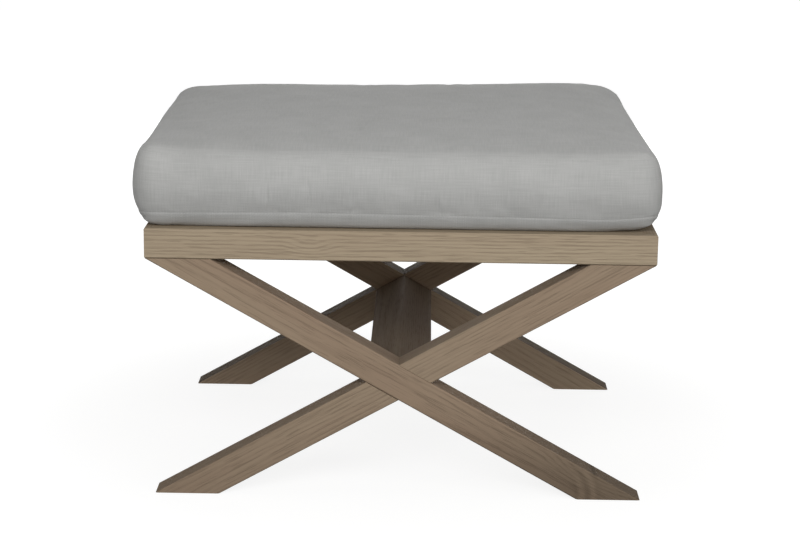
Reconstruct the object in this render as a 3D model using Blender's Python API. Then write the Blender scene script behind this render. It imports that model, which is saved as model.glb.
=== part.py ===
"""X-frame ottoman with a loose boxed cushion.

A mitred oak seat frame with a plywood deck stands on two half-lapped X frames. A diamond stretcher, cut to
the shape of the crossings, ties the X frames together. The linen cover of the cushion zips along its back.

Metres, +Z up, the front towards -Y. The origin is on the floor, under the middle of the frame.
"""

import math

import bmesh
import bpy
from mathutils import Matrix, Vector

# Fits and finish of the wood
FIT = 0.0003  # clearance between two pieces that touch
EASE = 0.0012  # sanded edge of the oak

# Seat frame
FRAME_WIDTH = 0.640
FRAME_DEPTH = 0.540
RAIL_HEIGHT = 0.038
RAIL_WIDTH = 0.050
REBATE_WIDTH = 0.014
TONGUE_LENGTH = 0.034  # along the mitre
TONGUE_REACH = 0.010  # into each rail
TONGUE_THICKNESS = 0.004

# Deck
DECK_THICKNESS = 0.012
VENT_RADIUS = 0.011
VENT_SPREAD_X = 0.150
VENT_SPREAD_Y = 0.110
DECK_SCREW_SPACING = 0.190

# Corner blocks
BLOCK_SIDE = 0.058  # along each rail
BLOCK_END = 0.016  # thickness of the squared ends
BLOCK_CLIP = 0.006  # corner cut off to clear the glue line
BLOCK_HEIGHT = 0.022
BLOCK_SEAT = 0.013  # wood left under a screw head
BLOCK_SCREW_EDGE = 0.011  # from the end of the block

# X frames
LEG_HEIGHT = 0.308  # floor to the underside of the rails
LEG_WIDTH = 0.040  # across the leg, in the plane of the X
LEG_THICKNESS = 0.040  # front to back
FOOT_INSET = 0.010  # from the end of the rail to the toe

# Dowels and screws
DOWEL_RADIUS = 0.004
DOWEL_CHAMFER = 0.0008
LEG_DOWEL_EDGE = 0.010  # from the top edge of the leg to the first dowel
LEG_DOWEL_SPACING = 0.020
LEG_DOWEL_IN_LEG = 0.014
LEG_DOWEL_IN_RAIL = 0.018
STRETCHER_DOWEL_SPACING = 0.032
STRETCHER_DOWEL_IN_LEGS = 0.028
STRETCHER_DOWEL_IN_BAR = 0.025
SCREW_RADIUS = 0.0018
SCREW_HEAD_RADIUS = 0.0038
SCREW_HEAD_HEIGHT = 0.0024
SCREW_TIP = 0.004
BLOCK_SCREW_LENGTH = 0.028
DECK_SCREW_LENGTH = 0.024
ROUND_SIDES = 12

# Cushion, measured at the seams
SIDE_OVERHANG = 0.002  # past the ends of the rails
FRONT_SETBACK = 0.004  # behind the face of the rail, the same at the back
CUSHION_CORNER = 0.045
CORNER_STEPS = 4
UNDER_HEIGHT = 0.018  # from the deck up to the lower seam
UNDER_WIDTH = 0.031  # from the seam in to where the cushion rests
BAND_HEIGHT = 0.077
CROWN = 0.022
CROWN_FULLNESS = 3.0  # 2 is an ellipse, and more is a flatter top with a rounder edge
BULGE = 0.009
DRAW_IN = 0.003
SKIN = 0.0015
FRONT_STEPS = 4
SIDE_STEPS = 3
UNDER_RINGS = (1.0, 0.45, 0.0)  # share of UNDER_WIDTH, from the flat of the base out to the seam
CROWN_RINGS = (0.0, 0.04, 0.15, 0.40, 0.80)  # share of the way from the seam to the middle

# Back of the cover, with the zip in a shallow valley
STRIP_MARGIN = 0.010  # from the corner's round to the end of the strips
LOBE_HEIGHT = 0.024  # of the fullest line of a strip, from the middle of the band
VALLEY_HALF = 0.014
VALLEY_DEPTH = 0.005
ZIP_WINDOW_HALF = 0.007
ZIP_END_MARGIN = 0.045  # from the end of the strips to the end of the teeth
TAPE_THICKNESS = 0.0008
TAPE_REACH = 0.010  # of each tape, across
TAPE_END_MARGIN = 0.001
TEETH_WIDTH = 0.0021  # of one row
TEETH_THICKNESS = 0.0020
TEETH_PARTING = 0.0008  # from the middle of the zip to a row
STOP_LENGTH = 0.003
STOP_STEP = 0.0006  # of a stop above the teeth

# Slider and pull
SLIDER_LENGTH = 0.011
SLIDER_PLATE = 0.0010
SLIDER_FLANGE = 0.0011
SLIDER_WEB = 0.0008
BRIDGE_LENGTH = 0.0092
BRIDGE_WIDTH = 0.0016
BRIDGE_POST = 0.0011
BRIDGE_ROOM = 0.0022  # under the bridge, for the pull's bar
BRIDGE_THICKNESS = 0.0008
BRIDGE_ROOT = 0.0003  # sunk in the plate, where the two are one casting
PULL_LENGTH = 0.027
PULL_WIDTH = 0.0056
PULL_THICKNESS = 0.0011
PULL_BAR = 0.0011
PULL_SLOT_WIDTH = 0.0028

BEYOND = 0.010  # how far a cutter runs past the face that it opens


def finish(name, colour, roughness, metallic=0.0):
    made = bpy.data.materials.new(name)
    made.use_nodes = True
    shader = made.node_tree.nodes["Principled BSDF"]
    shader.inputs["Base Color"].default_value = (*colour, 1.0)
    shader.inputs["Roughness"].default_value = roughness
    shader.inputs["Metallic"].default_value = metallic
    return made


def mesh_of(name, points, faces):
    mesh = bpy.data.meshes.new(name)
    mesh.from_pydata([tuple(point) for point in points], [], faces)
    shell = bmesh.new()
    shell.from_mesh(mesh)
    bmesh.ops.recalc_face_normals(shell, faces=shell.faces)
    shell.to_mesh(mesh)
    shell.free()
    return mesh


def stack(name, rings):
    """Joins rings of as many points each, in order, and closes both ends."""
    count = len(rings[0])
    points = [point for ring in rings for point in ring]
    faces = []
    for level in range(len(rings) - 1):
        low, high = level * count, (level + 1) * count
        for i in range(count):
            after = (i + 1) % count
            faces.append((low + i, low + after, high + after, high + i))
    faces.append(tuple(range(count)))
    faces.append(tuple(range(len(points) - count, len(points))))
    return mesh_of(name, points, faces)


def soft_stack(name, rings):
    """A stack shaded smooth.

    Twisted quads are split alike on a skin and on what it covers, so that the gap between them holds.
    """
    mesh = stack(name, rings)
    shell = bmesh.new()
    shell.from_mesh(mesh)
    bmesh.ops.triangulate(shell, faces=shell.faces, quad_method="SHORT_EDGE")
    shell.to_mesh(mesh)
    shell.free()
    mesh.shade_smooth()
    mesh.set_sharp_from_angle(angle=math.radians(50))
    return mesh


def turned(name, profile):
    """Spins a profile of (radius, height) points round Z. It starts and ends on the axis."""
    lathe = bmesh.new()
    points = [lathe.verts.new((radius, 0.0, height)) for radius, height in profile]
    edges = [lathe.edges.new(pair) for pair in zip(points, points[1:])]
    bmesh.ops.spin(
        lathe,
        geom=points + edges,
        cent=(0.0, 0.0, 0.0),
        axis=(0.0, 0.0, 1.0),
        angle=2 * math.pi,
        steps=ROUND_SIDES,
        use_merge=True,
    )
    bmesh.ops.remove_doubles(lathe, verts=lathe.verts, dist=1e-6)
    bmesh.ops.recalc_face_normals(lathe, faces=lathe.faces)
    mesh = bpy.data.meshes.new(name)
    lathe.to_mesh(mesh)
    lathe.free()
    mesh.shade_smooth()
    mesh.set_sharp_from_angle(angle=math.radians(35))
    return mesh


def block_mesh(name, low, high):
    rings = [
        [(x, y, z) for x, y in ((low[0], low[1]), (high[0], low[1]), (high[0], high[1]), (low[0], high[1]))]
        for z in (low[2], high[2])
    ]
    return stack(name, rings)


def eased(outline, amount, kept_sharp=()):
    """The outline with each corner cut back along both of its edges, apart from the corners kept sharp."""
    result = []
    for i, corner in enumerate(outline):
        here = Vector(corner)
        if i in kept_sharp:
            result.append(here)
            continue
        for other in (outline[i - 1], outline[(i + 1) % len(outline)]):
            towards = (Vector(other) - here).normalized()
            result.append(here + towards * amount)
    return result


def add(name, mesh, look, place=None, parent=None):
    piece = bpy.data.objects.new(name, mesh)
    if not mesh.materials:
        mesh.materials.append(look)
    bpy.context.scene.collection.objects.link(piece)
    place = place or Matrix()
    if parent is not None:
        piece.parent = parent
        place = Matrix.Translation(parent_place(parent)).inverted() @ place
    piece.matrix_basis = place
    return piece


def parent_place(piece):
    """Where a piece's origin is in the world. Every parent here is placed by locations alone."""
    return piece.location + (parent_place(piece.parent) if piece.parent else Vector())


def cut(name, mesh, place, *pieces):
    """Cuts the same hollow in each piece."""
    cutter = bpy.data.objects.new(name, mesh)
    bpy.context.scene.collection.objects.link(cutter)
    cutter.matrix_basis = place
    cutter.hide_render = True
    cutter.display_type = "WIRE"
    for piece in pieces:
        boolean = piece.modifiers.new(name, "BOOLEAN")
        boolean.operation = "DIFFERENCE"
        boolean.object = cutter


def aim(start, direction):
    """Stands a turned piece at start, with its axis along direction."""
    turn = Vector((0, 0, 1)).rotation_difference(Vector(direction))
    return Matrix.Translation(start) @ turn.to_matrix().to_4x4()


def half_turn():
    return Matrix.Rotation(math.pi, 4, "Z")


# Legs

REACH = FRAME_WIDTH - FOOT_INSET  # from the end of a rail to the toe of its leg
LEAN = math.atan2(LEG_HEIGHT, REACH) + math.asin(LEG_WIDTH / math.hypot(REACH, LEG_HEIGHT))
LEG_CUT = LEG_WIDTH / math.sin(LEAN)  # length of the flat at a leg's top and foot
CROSSING_HALF_WIDTH = LEG_WIDTH / math.sin(LEAN) / 2
CROSSING_HALF_HEIGHT = LEG_WIDTH / math.cos(LEAN) / 2


def leg_x(across, height):
    """Where a leg that starts at the left end of the rail lies at a height. across is from its lower edge."""
    along = (LEG_HEIGHT + across * math.cos(LEAN) - height) / math.sin(LEAN)
    return -FRAME_WIDTH / 2 + across * math.sin(LEAN) + along * math.cos(LEAN)


# The height at which the middle line of a leg passes x = 0
CROSSING_HEIGHT = (
    LEG_HEIGHT
    + LEG_WIDTH / 2 * math.cos(LEAN)
    + (LEG_WIDTH / 2 * math.sin(LEAN) - FRAME_WIDTH / 2) * math.tan(LEAN)
)


def leg_mesh(name, side, low, high, section):
    """A leaning bar between two heights. side is 1 for the leg from the rail's left end, -1 for the right."""
    front = -FRAME_DEPTH / 2
    rings = [
        [(side * leg_x(across, height), front + depth, height) for across, depth in section]
        for height in (low, high)
    ]
    return stack(name, rings)


def rectangle(low_u, low_v, high_u, high_v):
    return [(low_u, low_v), (high_u, low_v), (high_u, high_v), (low_u, high_v)]


def x_frame(where, place, look):
    """Two legs halved into each other. The through leg is whole on the outer face."""
    section = eased(rectangle(0, 0, LEG_WIDTH, LEG_THICKNESS), EASE)
    legs = {}
    for kind, side in (("through", 1), ("lapped", -1)):
        name = f"{where}_leg_{kind}"
        legs[kind] = add(name, leg_mesh(name, side, 0.0, LEG_HEIGHT - FIT, section), look, place)
    lap = LEG_THICKNESS / 2
    housings = (
        ("through", -1, lap - FIT / 2, LEG_THICKNESS + BEYOND),
        ("lapped", 1, -BEYOND, lap + FIT / 2),
    )
    for kind, side, near, far in housings:
        name = f"{where}_{kind}_housing"
        band = rectangle(-FIT, near, LEG_WIDTH + FIT, far)
        cut(name, leg_mesh(name, side, 0.0, LEG_HEIGHT, band), place, legs[kind])
    return legs


# Fasteners


def dowel_profile(length, grow):
    radius = DOWEL_RADIUS + grow
    return (
        (0.0, -grow),
        (radius - DOWEL_CHAMFER, -grow),
        (radius, DOWEL_CHAMFER - grow),
        (radius, length - DOWEL_CHAMFER + grow),
        (radius - DOWEL_CHAMFER, length + grow),
        (0.0, length + grow),
    )


def dowel(name, start, direction, length, look, *pieces):
    place = aim(start, direction)
    add(name, turned(name, dowel_profile(length, 0.0)), look, place)
    hole = f"{name}_hole"
    cut(hole, turned(hole, dowel_profile(length, FIT)), place, *pieces)


def screw_profile(length, grow, above):
    """A countersunk screw with its head's face at height 0. above carries a hole on past the head."""
    shank = SCREW_RADIUS + grow
    head = SCREW_HEAD_RADIUS + grow
    profile = [
        (0.0, -length - grow),
        (shank, -length + SCREW_TIP - grow),
        (shank, -SCREW_HEAD_HEIGHT - grow),
        (head, 0.0),
    ]
    if above:
        profile.append((head, above))
    profile.append((0.0, above))
    return profile


def screw(name, seat, outward, length, above, look, *pieces):
    """A countersunk screw and its hole. outward points from the seat back to the driver."""
    place = aim(seat, outward)
    add(name, turned(name, screw_profile(length, 0.0, 0.0)), look, place)
    hole = f"{name}_hole"
    cut(hole, turned(hole, screw_profile(length, FIT, above)), place, *pieces)


# Seat frame


def rail_mesh(name, length):
    """A rail along X with its outer face on y = 0 and its underside on z = 0, mitred at both ends."""
    ledge = RAIL_HEIGHT - DECK_THICKNESS
    inner = RAIL_WIDTH - REBATE_WIDTH
    outline = [
        (0.0, 0.0),
        (RAIL_WIDTH, 0.0),
        (RAIL_WIDTH, ledge),
        (inner, ledge),
        (inner, RAIL_HEIGHT),
        (0.0, RAIL_HEIGHT),
    ]
    section = eased(outline, EASE, kept_sharp=(2, 3, 4))
    back_off = FIT / math.sqrt(2)
    rings = [
        [(side * (length / 2 - depth - back_off), depth, height) for depth, height in section]
        for side in (-1, 1)
    ]
    return stack(name, rings)


def seat_frame(look):
    """Four mitred rails, keyed by the side that they are on."""
    sides = {
        "front": (FRAME_WIDTH, (0.0, -FRAME_DEPTH / 2), 0.0),
        "back": (FRAME_WIDTH, (0.0, FRAME_DEPTH / 2), math.pi),
        "left": (FRAME_DEPTH, (-FRAME_WIDTH / 2, 0.0), -math.pi / 2),
        "right": (FRAME_DEPTH, (FRAME_WIDTH / 2, 0.0), math.pi / 2),
    }
    rails = {}
    for side, (length, (x, y), turn) in sides.items():
        name = f"{side}_rail"
        place = Matrix.Translation((x, y, LEG_HEIGHT)) @ Matrix.Rotation(turn, 4, "Z")
        rails[side] = add(name, rail_mesh(name, length), look, place)
    return rails


def corners():
    """Each corner of the frame: its two sides, and the signs of its x and y."""
    for y_side, y_sign in (("front", -1), ("back", 1)):
        for x_side, x_sign in (("left", -1), ("right", 1)):
            yield y_side, x_side, x_sign, y_sign


def mitre_tongues(rails, look):
    """A loose tongue across each mitre, level with the middle of the wood under the deck."""
    height = LEG_HEIGHT + (RAIL_HEIGHT - DECK_THICKNESS) / 2
    for y_side, x_side, x_sign, y_sign in corners():
        name = f"mitre_tongue_{y_side}_{x_side}"
        x = x_sign * (FRAME_WIDTH - RAIL_WIDTH) / 2
        y = y_sign * (FRAME_DEPTH - RAIL_WIDTH) / 2
        place = Matrix.Translation((x, y, height)) @ Matrix.Rotation(x_sign * y_sign * math.pi / 4, 4, "Z")
        half = Vector((TONGUE_LENGTH / 2, TONGUE_REACH, TONGUE_THICKNESS / 2))
        grown = half + Vector((FIT, FIT, FIT))
        add(name, block_mesh(name, -half, half), look, place)
        slot = f"{name}_slot"
        cut(slot, block_mesh(slot, -grown, grown), place, rails[y_side], rails[x_side])


def corner_blocks(rails, wood, steel):
    """A block screwed into each inside corner, close under the deck."""
    top = LEG_HEIGHT + RAIL_HEIGHT - DECK_THICKNESS
    plan = [
        (BLOCK_CLIP, FIT),
        (BLOCK_SIDE, FIT),
        (BLOCK_SIDE, BLOCK_END),
        (BLOCK_END, BLOCK_SIDE),
        (FIT, BLOCK_SIDE),
        (FIT, BLOCK_CLIP),
    ]
    for y_side, x_side, x_sign, y_sign in corners():
        name = f"corner_block_{y_side}_{x_side}"
        corner_x = x_sign * (FRAME_WIDTH / 2 - RAIL_WIDTH)
        corner_y = y_sign * (FRAME_DEPTH / 2 - RAIL_WIDTH)
        corner = Vector((corner_x, corner_y, top))
        rings = [[(-x_sign * u, -y_sign * v, drop) for u, v in plan] for drop in (-BLOCK_HEIGHT, 0.0)]
        block = add(name, stack(name, rings), wood, Matrix.Translation(corner))
        along = BLOCK_SIDE - BLOCK_SCREW_EDGE
        seats = (
            ("long", (along, BLOCK_SEAT), (0, -y_sign, 0), y_side),
            ("short", (BLOCK_SEAT, along), (-x_sign, 0, 0), x_side),
        )
        for which, (u, v), outward, side in seats:
            seat = corner + Vector((-x_sign * u, -y_sign * v, -BLOCK_HEIGHT / 2))
            hosts = (block, rails[side])
            screw_name = f"block_screw_{y_side}_{x_side}_{which}"
            screw(screw_name, seat, outward, BLOCK_SCREW_LENGTH, BLOCK_SIDE, steel, *hosts)


def seat_deck(rails, ply, steel):
    """The plywood deck, dropped into the rebates and screwed to the long rails."""
    half_x = FRAME_WIDTH / 2 - RAIL_WIDTH + REBATE_WIDTH - FIT
    half_y = FRAME_DEPTH / 2 - RAIL_WIDTH + REBATE_WIDTH - FIT
    top = LEG_HEIGHT + RAIL_HEIGHT
    low = (-half_x, -half_y, top - DECK_THICKNESS + FIT)
    deck = add("seat_deck", block_mesh("seat_deck", low, (half_x, half_y, top)), ply)
    vents = [(0, 0)] + [(x, y) for x in (-1, 1) for y in (-1, 1)]
    for i, (x_sign, y_sign) in enumerate(vents):
        name = f"vent_{i + 1}"
        depth = DECK_THICKNESS + BEYOND
        mesh = turned(name, ((0.0, -depth), (VENT_RADIUS, -depth), (VENT_RADIUS, BEYOND), (0.0, BEYOND)))
        place = Matrix.Translation((x_sign * VENT_SPREAD_X, y_sign * VENT_SPREAD_Y, top))
        cut(name, mesh, place, deck)
    screw_y = FRAME_DEPTH / 2 - RAIL_WIDTH + REBATE_WIDTH / 2
    for y_side, y_sign in (("front", -1), ("back", 1)):
        for where, x_sign in (("left", -1), ("middle", 0), ("right", 1)):
            name = f"deck_screw_{y_side}_{where}"
            seat = (x_sign * DECK_SCREW_SPACING, y_sign * screw_y, top - FIT)
            screw(name, seat, (0, 0, 1), DECK_SCREW_LENGTH, BEYOND, steel, deck, rails[y_side])


def leg_dowels(frames, rails, look):
    """Two upright dowels between the rail and the top of each leg."""
    inner = FRAME_WIDTH / 2 - LEG_CUT + LEG_DOWEL_EDGE
    y = FRAME_DEPTH / 2 - LEG_THICKNESS / 2
    start = LEG_HEIGHT - LEG_DOWEL_IN_LEG
    length = LEG_DOWEL_IN_LEG + LEG_DOWEL_IN_RAIL
    for y_side, x_side, x_sign, y_sign in corners():
        # The through leg of either X starts at that X's own left, seen from outside.
        kind = "through" if x_sign * y_sign > 0 else "lapped"
        for which, x in (("inner", inner), ("outer", inner + LEG_DOWEL_SPACING)):
            name = f"leg_dowel_{y_side}_{x_side}_{which}"
            place = (x_sign * x, y_sign * y, start)
            dowel(name, place, (0, 0, 1), length, look, rails[y_side], frames[y_side][kind])


def stretcher(frames, oak, beech):
    """A bar with the section of the crossings, dowelled to the inner face of each X."""
    outline = [
        (CROSSING_HALF_WIDTH, 0.0),
        (0.0, CROSSING_HALF_HEIGHT),
        (-CROSSING_HALF_WIDTH, 0.0),
        (0.0, -CROSSING_HALF_HEIGHT),
    ]
    end = FRAME_DEPTH / 2 - LEG_THICKNESS
    rings = [
        [(x, side * (end - FIT), CROSSING_HEIGHT + z) for x, z in eased(outline, EASE, kept_sharp=(0, 2))]
        for side in (-1, 1)
    ]
    bar = add("stretcher", stack("stretcher", rings), oak)
    length = STRETCHER_DOWEL_IN_BAR + STRETCHER_DOWEL_IN_LEGS
    for y_side, y_sign in (("front", -1), ("back", 1)):
        for x_side, x_sign in (("left", -1), ("right", 1)):
            name = f"stretcher_dowel_{y_side}_{x_side}"
            x = x_sign * STRETCHER_DOWEL_SPACING / 2
            start = (x, y_sign * (end - STRETCHER_DOWEL_IN_BAR), CROSSING_HEIGHT)
            dowel(name, start, (0, y_sign, 0), length, beech, bar, *frames[y_side].values())


# Cushion

CUSHION_BASE = LEG_HEIGHT + RAIL_HEIGHT + FIT
LOWER_SEAM = CUSHION_BASE + UNDER_HEIGHT
UPPER_SEAM = LOWER_SEAM + BAND_HEIGHT
BAND_MIDDLE = LOWER_SEAM + BAND_HEIGHT / 2
CUSHION_HALF_X = FRAME_WIDTH / 2 + SIDE_OVERHANG
CUSHION_HALF_Y = FRAME_DEPTH / 2 - FRONT_SETBACK
STRIP_HALF = CUSHION_HALF_X - CUSHION_CORNER - STRIP_MARGIN
TEETH_HALF = STRIP_HALF - ZIP_END_MARGIN


def full(height):
    """How far the band stands out at a height from its middle."""
    return BULGE * (1 - (2 * height / BAND_HEIGHT) ** 4)


BACK_FULL = CUSHION_HALF_Y + full(VALLEY_HALF)  # the fullest line of the back
TAPE_Y = BACK_FULL - VALLEY_DEPTH - SKIN - FIT - TAPE_THICKNESS / 2


def columns():
    """Points round the seam: x, y, outward x, outward y, and how far each belongs to the back, from 0 to 1.

    They run anticlockwise, seen from above, from one end of the back strips to the other.
    """
    centre_x = CUSHION_HALF_X - CUSHION_CORNER
    centre_y = CUSHION_HALF_Y - CUSHION_CORNER
    quarter = math.pi / 2

    def corner(x_sign, y_sign, first_angle, share):
        for step in range(CORNER_STEPS + 1):
            angle = first_angle + quarter * step / CORNER_STEPS
            out_x, out_y = math.cos(angle), math.sin(angle)
            x = x_sign * centre_x + CUSHION_CORNER * out_x
            y = y_sign * centre_y + CUSHION_CORNER * out_y
            yield x, y, out_x, out_y, share(step / CORNER_STEPS)

    def drawn_in(step, steps):
        along = 2 * step / steps - 1
        return along, DRAW_IN * (1 - along * along)

    yield -STRIP_HALF, CUSHION_HALF_Y, 0.0, 1.0, 1.0
    yield from corner(-1, 1, quarter, lambda part: 1 - part)
    for step in range(1, SIDE_STEPS):
        along, depth = drawn_in(step, SIDE_STEPS)
        yield depth - CUSHION_HALF_X, -along * centre_y, -1.0, 0.0, 0.0
    yield from corner(-1, -1, 2 * quarter, lambda part: 0.0)
    for step in range(1, FRONT_STEPS):
        along, depth = drawn_in(step, FRONT_STEPS)
        yield along * centre_x, depth - CUSHION_HALF_Y, 0.0, -1.0, 0.0
    yield from corner(1, -1, 3 * quarter, lambda part: 0.0)
    for step in range(1, SIDE_STEPS):
        along, depth = drawn_in(step, SIDE_STEPS)
        yield CUSHION_HALF_X - depth, along * centre_y, 1.0, 0.0, 0.0
    yield from corner(1, 1, 4 * quarter, lambda part: part)
    yield STRIP_HALF, CUSHION_HALF_Y, 0.0, 1.0, 1.0


COLUMNS = list(columns())


def ring(height, outward=0.0, shrink=1.0):
    """One loop round the cushion. outward may be a function of a column's share of the back."""
    points = []
    for x, y, out_x, out_y, share in COLUMNS:
        move = outward(share) if callable(outward) else outward
        points.append(((x + move * out_x) * shrink, (y + move * out_y) * shrink, height))
    return points


def under_rings(depth):
    """From the flat of the base out to the lower seam, a depth inside the cover's outer face."""
    rings = []
    for share in UNDER_RINGS:
        drop = UNDER_HEIGHT * math.sqrt(1 - (1 - share) ** 2)
        rings.append(ring(LOWER_SEAM - drop + depth, -share * UNDER_WIDTH - depth))
    return rings


def crown_rings(depth):
    rings = []
    for share in CROWN_RINGS:
        rise = CROWN * (1 - (1 - share) ** CROWN_FULLNESS) ** (1 / CROWN_FULLNESS)
        rings.append(ring(UPPER_SEAM + rise - depth, -depth, 1 - share))
    return rings


def band_rows(depth, valley_floor):
    """The height of each row of the band, from its middle, and how far out it is for a share of the back."""

    def row(height, back_out):
        side_out = full(height)
        return height, lambda share: side_out + (back_out - side_out) * share - depth

    half = BAND_HEIGHT / 2
    fullest = full(VALLEY_HALF)
    return [
        row(-half, 0.0),
        row(-LOBE_HEIGHT, fullest),
        row(-VALLEY_HALF, valley_floor),
        row(VALLEY_HALF, valley_floor),
        row(LOBE_HEIGHT, fullest),
        row(half, 0.0),
    ]


def cushion_fill(foam, parent):
    """The foam block with its fibre wrap, and a channel behind the zip for the slider's inner plate."""
    depth = SKIN + FIT
    floor = TAPE_Y - TAPE_THICKNESS / 2 - FIT - CUSHION_HALF_Y + depth
    under = under_rings(depth)
    crown = crown_rings(depth)
    rows = band_rows(depth, floor)
    band = [ring(BAND_MIDDLE + height, outward) for height, outward in rows]
    # The seam rings of the panels and the end rows of the band lie together, so the band's own are used.
    core = add("foam_core", soft_stack("foam_core", under[:-1] + band + crown[1:]), foam, None, parent)
    reach = SLIDER_PLATE + TEETH_THICKNESS / 2 + 2 * FIT + FIT
    half_z = TEETH_PARTING + TEETH_WIDTH + FIT + SLIDER_FLANGE + 2 * FIT
    low = (-TEETH_HALF - STOP_LENGTH - 2 * FIT, TAPE_Y - reach, BAND_MIDDLE - half_z)
    high = (TEETH_HALF + STOP_LENGTH + 2 * FIT, BACK_FULL + BEYOND, BAND_MIDDLE + half_z)
    cut("zip_channel", block_mesh("zip_channel", low, high), Matrix(), core)


def panel(name, outer, inner, edge, look, parent):
    """A top or bottom panel: its outer face out to the seam, at the height edge, then back inside it."""
    for rings in (outer, inner):
        rings[-1] = [(x, y, edge) for x, y, _ in rings[-1]]
    add(name, soft_stack(name, outer + inner[::-1]), look, None, parent)


def cover_band(look, parent):
    """The band round the front and both sides, from one end of the back strips to the other."""
    valley = VALLEY_DEPTH * (LOBE_HEIGHT - VALLEY_HALF) / (LOBE_HEIGHT - ZIP_WINDOW_HALF)
    floor = full(VALLEY_HALF) - valley
    outer = band_rows(0.0, floor)
    inner = band_rows(SKIN, floor)
    half = BAND_HEIGHT / 2 - FIT / 2
    rings = []
    for x, y, out_x, out_y, share in COLUMNS:
        section = []
        for height, outward in outer + inner[::-1]:
            level = BAND_MIDDLE + max(-half, min(half, height))
            move = outward(share)
            section.append((x + move * out_x, y + move * out_y, level))
        rings.append(section)
    add("cover_band", soft_stack("cover_band", rings), look, None, parent)


def back_strips(look, parent):
    """The two strips of the back, sewn to the zip's tapes."""
    fullest = full(VALLEY_HALF)
    profile = (
        (BAND_HEIGHT / 2 - FIT / 2, 0.0),
        (LOBE_HEIGHT, fullest),
        (ZIP_WINDOW_HALF, fullest - VALLEY_DEPTH),
    )
    for which, sign in (("upper", 1), ("lower", -1)):
        rings = []
        for x in (-STRIP_HALF + FIT, STRIP_HALF - FIT):
            outer = [(x, CUSHION_HALF_Y + out, BAND_MIDDLE + sign * height) for height, out in profile]
            inner = [(x, y - SKIN, z) for x, y, z in outer]
            rings.append(outer + inner[::-1])
        name = f"cover_back_strip_{which}"
        add(name, stack(name, rings), look, None, parent)


# Zip


def zip_strips(tape, nylon, metal, parent):
    """The tapes, the two rows of teeth and the stops at their ends."""
    teeth_edge = TEETH_PARTING + TEETH_WIDTH
    tape_half = STRIP_HALF - TAPE_END_MARGIN
    for which, sign in (("upper", 1), ("lower", -1)):
        tape_edge = teeth_edge + FIT
        spans = (
            (f"zip_tape_{which}", tape_half, TAPE_THICKNESS, tape_edge, tape_edge + TAPE_REACH, tape),
            (f"zip_teeth_{which}", TEETH_HALF, TEETH_THICKNESS, TEETH_PARTING, teeth_edge, nylon),
        )
        for name, half_x, thickness, near, far, look in spans:
            z_low, z_high = sorted((sign * near, sign * far))
            low = (-half_x, TAPE_Y - thickness / 2, BAND_MIDDLE + z_low)
            high = (half_x, TAPE_Y + thickness / 2, BAND_MIDDLE + z_high)
            add(name, block_mesh(name, low, high), look, None, parent)
    thick = TEETH_THICKNESS / 2 + STOP_STEP
    outline = eased(rectangle(-teeth_edge, -thick, teeth_edge, thick), STOP_STEP)
    for which, sign in (("closed", 1), ("open", -1)):
        name = f"zip_stop_{which}"
        ends = (sign * (TEETH_HALF + FIT), sign * (TEETH_HALF + FIT + STOP_LENGTH))
        rings = [[(x, TAPE_Y + y, BAND_MIDDLE + z) for z, y in outline] for x in ends]
        add(name, stack(name, rings), metal, None, parent)


def slider_outline():
    """Section across the zip, as (z, y): two flanged plates, and a web between the rows of teeth."""
    web = SLIDER_WEB / 2
    teeth = TEETH_PARTING + TEETH_WIDTH + FIT
    edge = teeth + SLIDER_FLANGE
    room = TEETH_THICKNESS / 2 + FIT
    slot = TAPE_THICKNESS / 2 + FIT
    face = room + SLIDER_PLATE
    quarter = [(web, room), (teeth, room), (teeth, slot), (edge, slot), (edge, face)]
    right = [(z, -y) for z, y in reversed(quarter)] + quarter
    return right + [(-z, -y) for z, y in right]


def zip_slider(metal, parent):
    face = TEETH_THICKNESS / 2 + FIT + SLIDER_PLATE
    rest_x = TEETH_HALF - SLIDER_LENGTH / 2
    place = Matrix.Translation((rest_x, TAPE_Y, BAND_MIDDLE))
    rings = [[(x, y, z) for z, y in slider_outline()] for x in (-SLIDER_LENGTH / 2, SLIDER_LENGTH / 2)]
    slider = add("zip_slider", stack("zip_slider", rings), metal, place, parent)
    half = BRIDGE_LENGTH / 2
    slope = BRIDGE_THICKNESS
    under = face + BRIDGE_ROOM
    arch = [
        (-half, face - BRIDGE_ROOT),
        (-half, under),
        (slope - half, under + BRIDGE_THICKNESS),
        (half - slope, under + BRIDGE_THICKNESS),
        (half, under),
        (half, face - BRIDGE_ROOT),
        (half - BRIDGE_POST, face - BRIDGE_ROOT),
        (half - BRIDGE_POST, under),
        (BRIDGE_POST - half, under),
        (BRIDGE_POST - half, face - BRIDGE_ROOT),
    ]
    rings = [[(x, y, z) for x, y in arch] for z in (-BRIDGE_WIDTH / 2, BRIDGE_WIDTH / 2)]
    bridge = bpy.data.objects.new("slider_bridge", stack("slider_bridge", rings))
    bpy.context.scene.collection.objects.link(bridge)
    bridge.matrix_basis = place
    bridge.hide_render = True
    bridge.display_type = "WIRE"
    union = slider.modifiers.new("bridge", "BOOLEAN")
    union.operation = "UNION"
    union.object = bridge
    return slider


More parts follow.
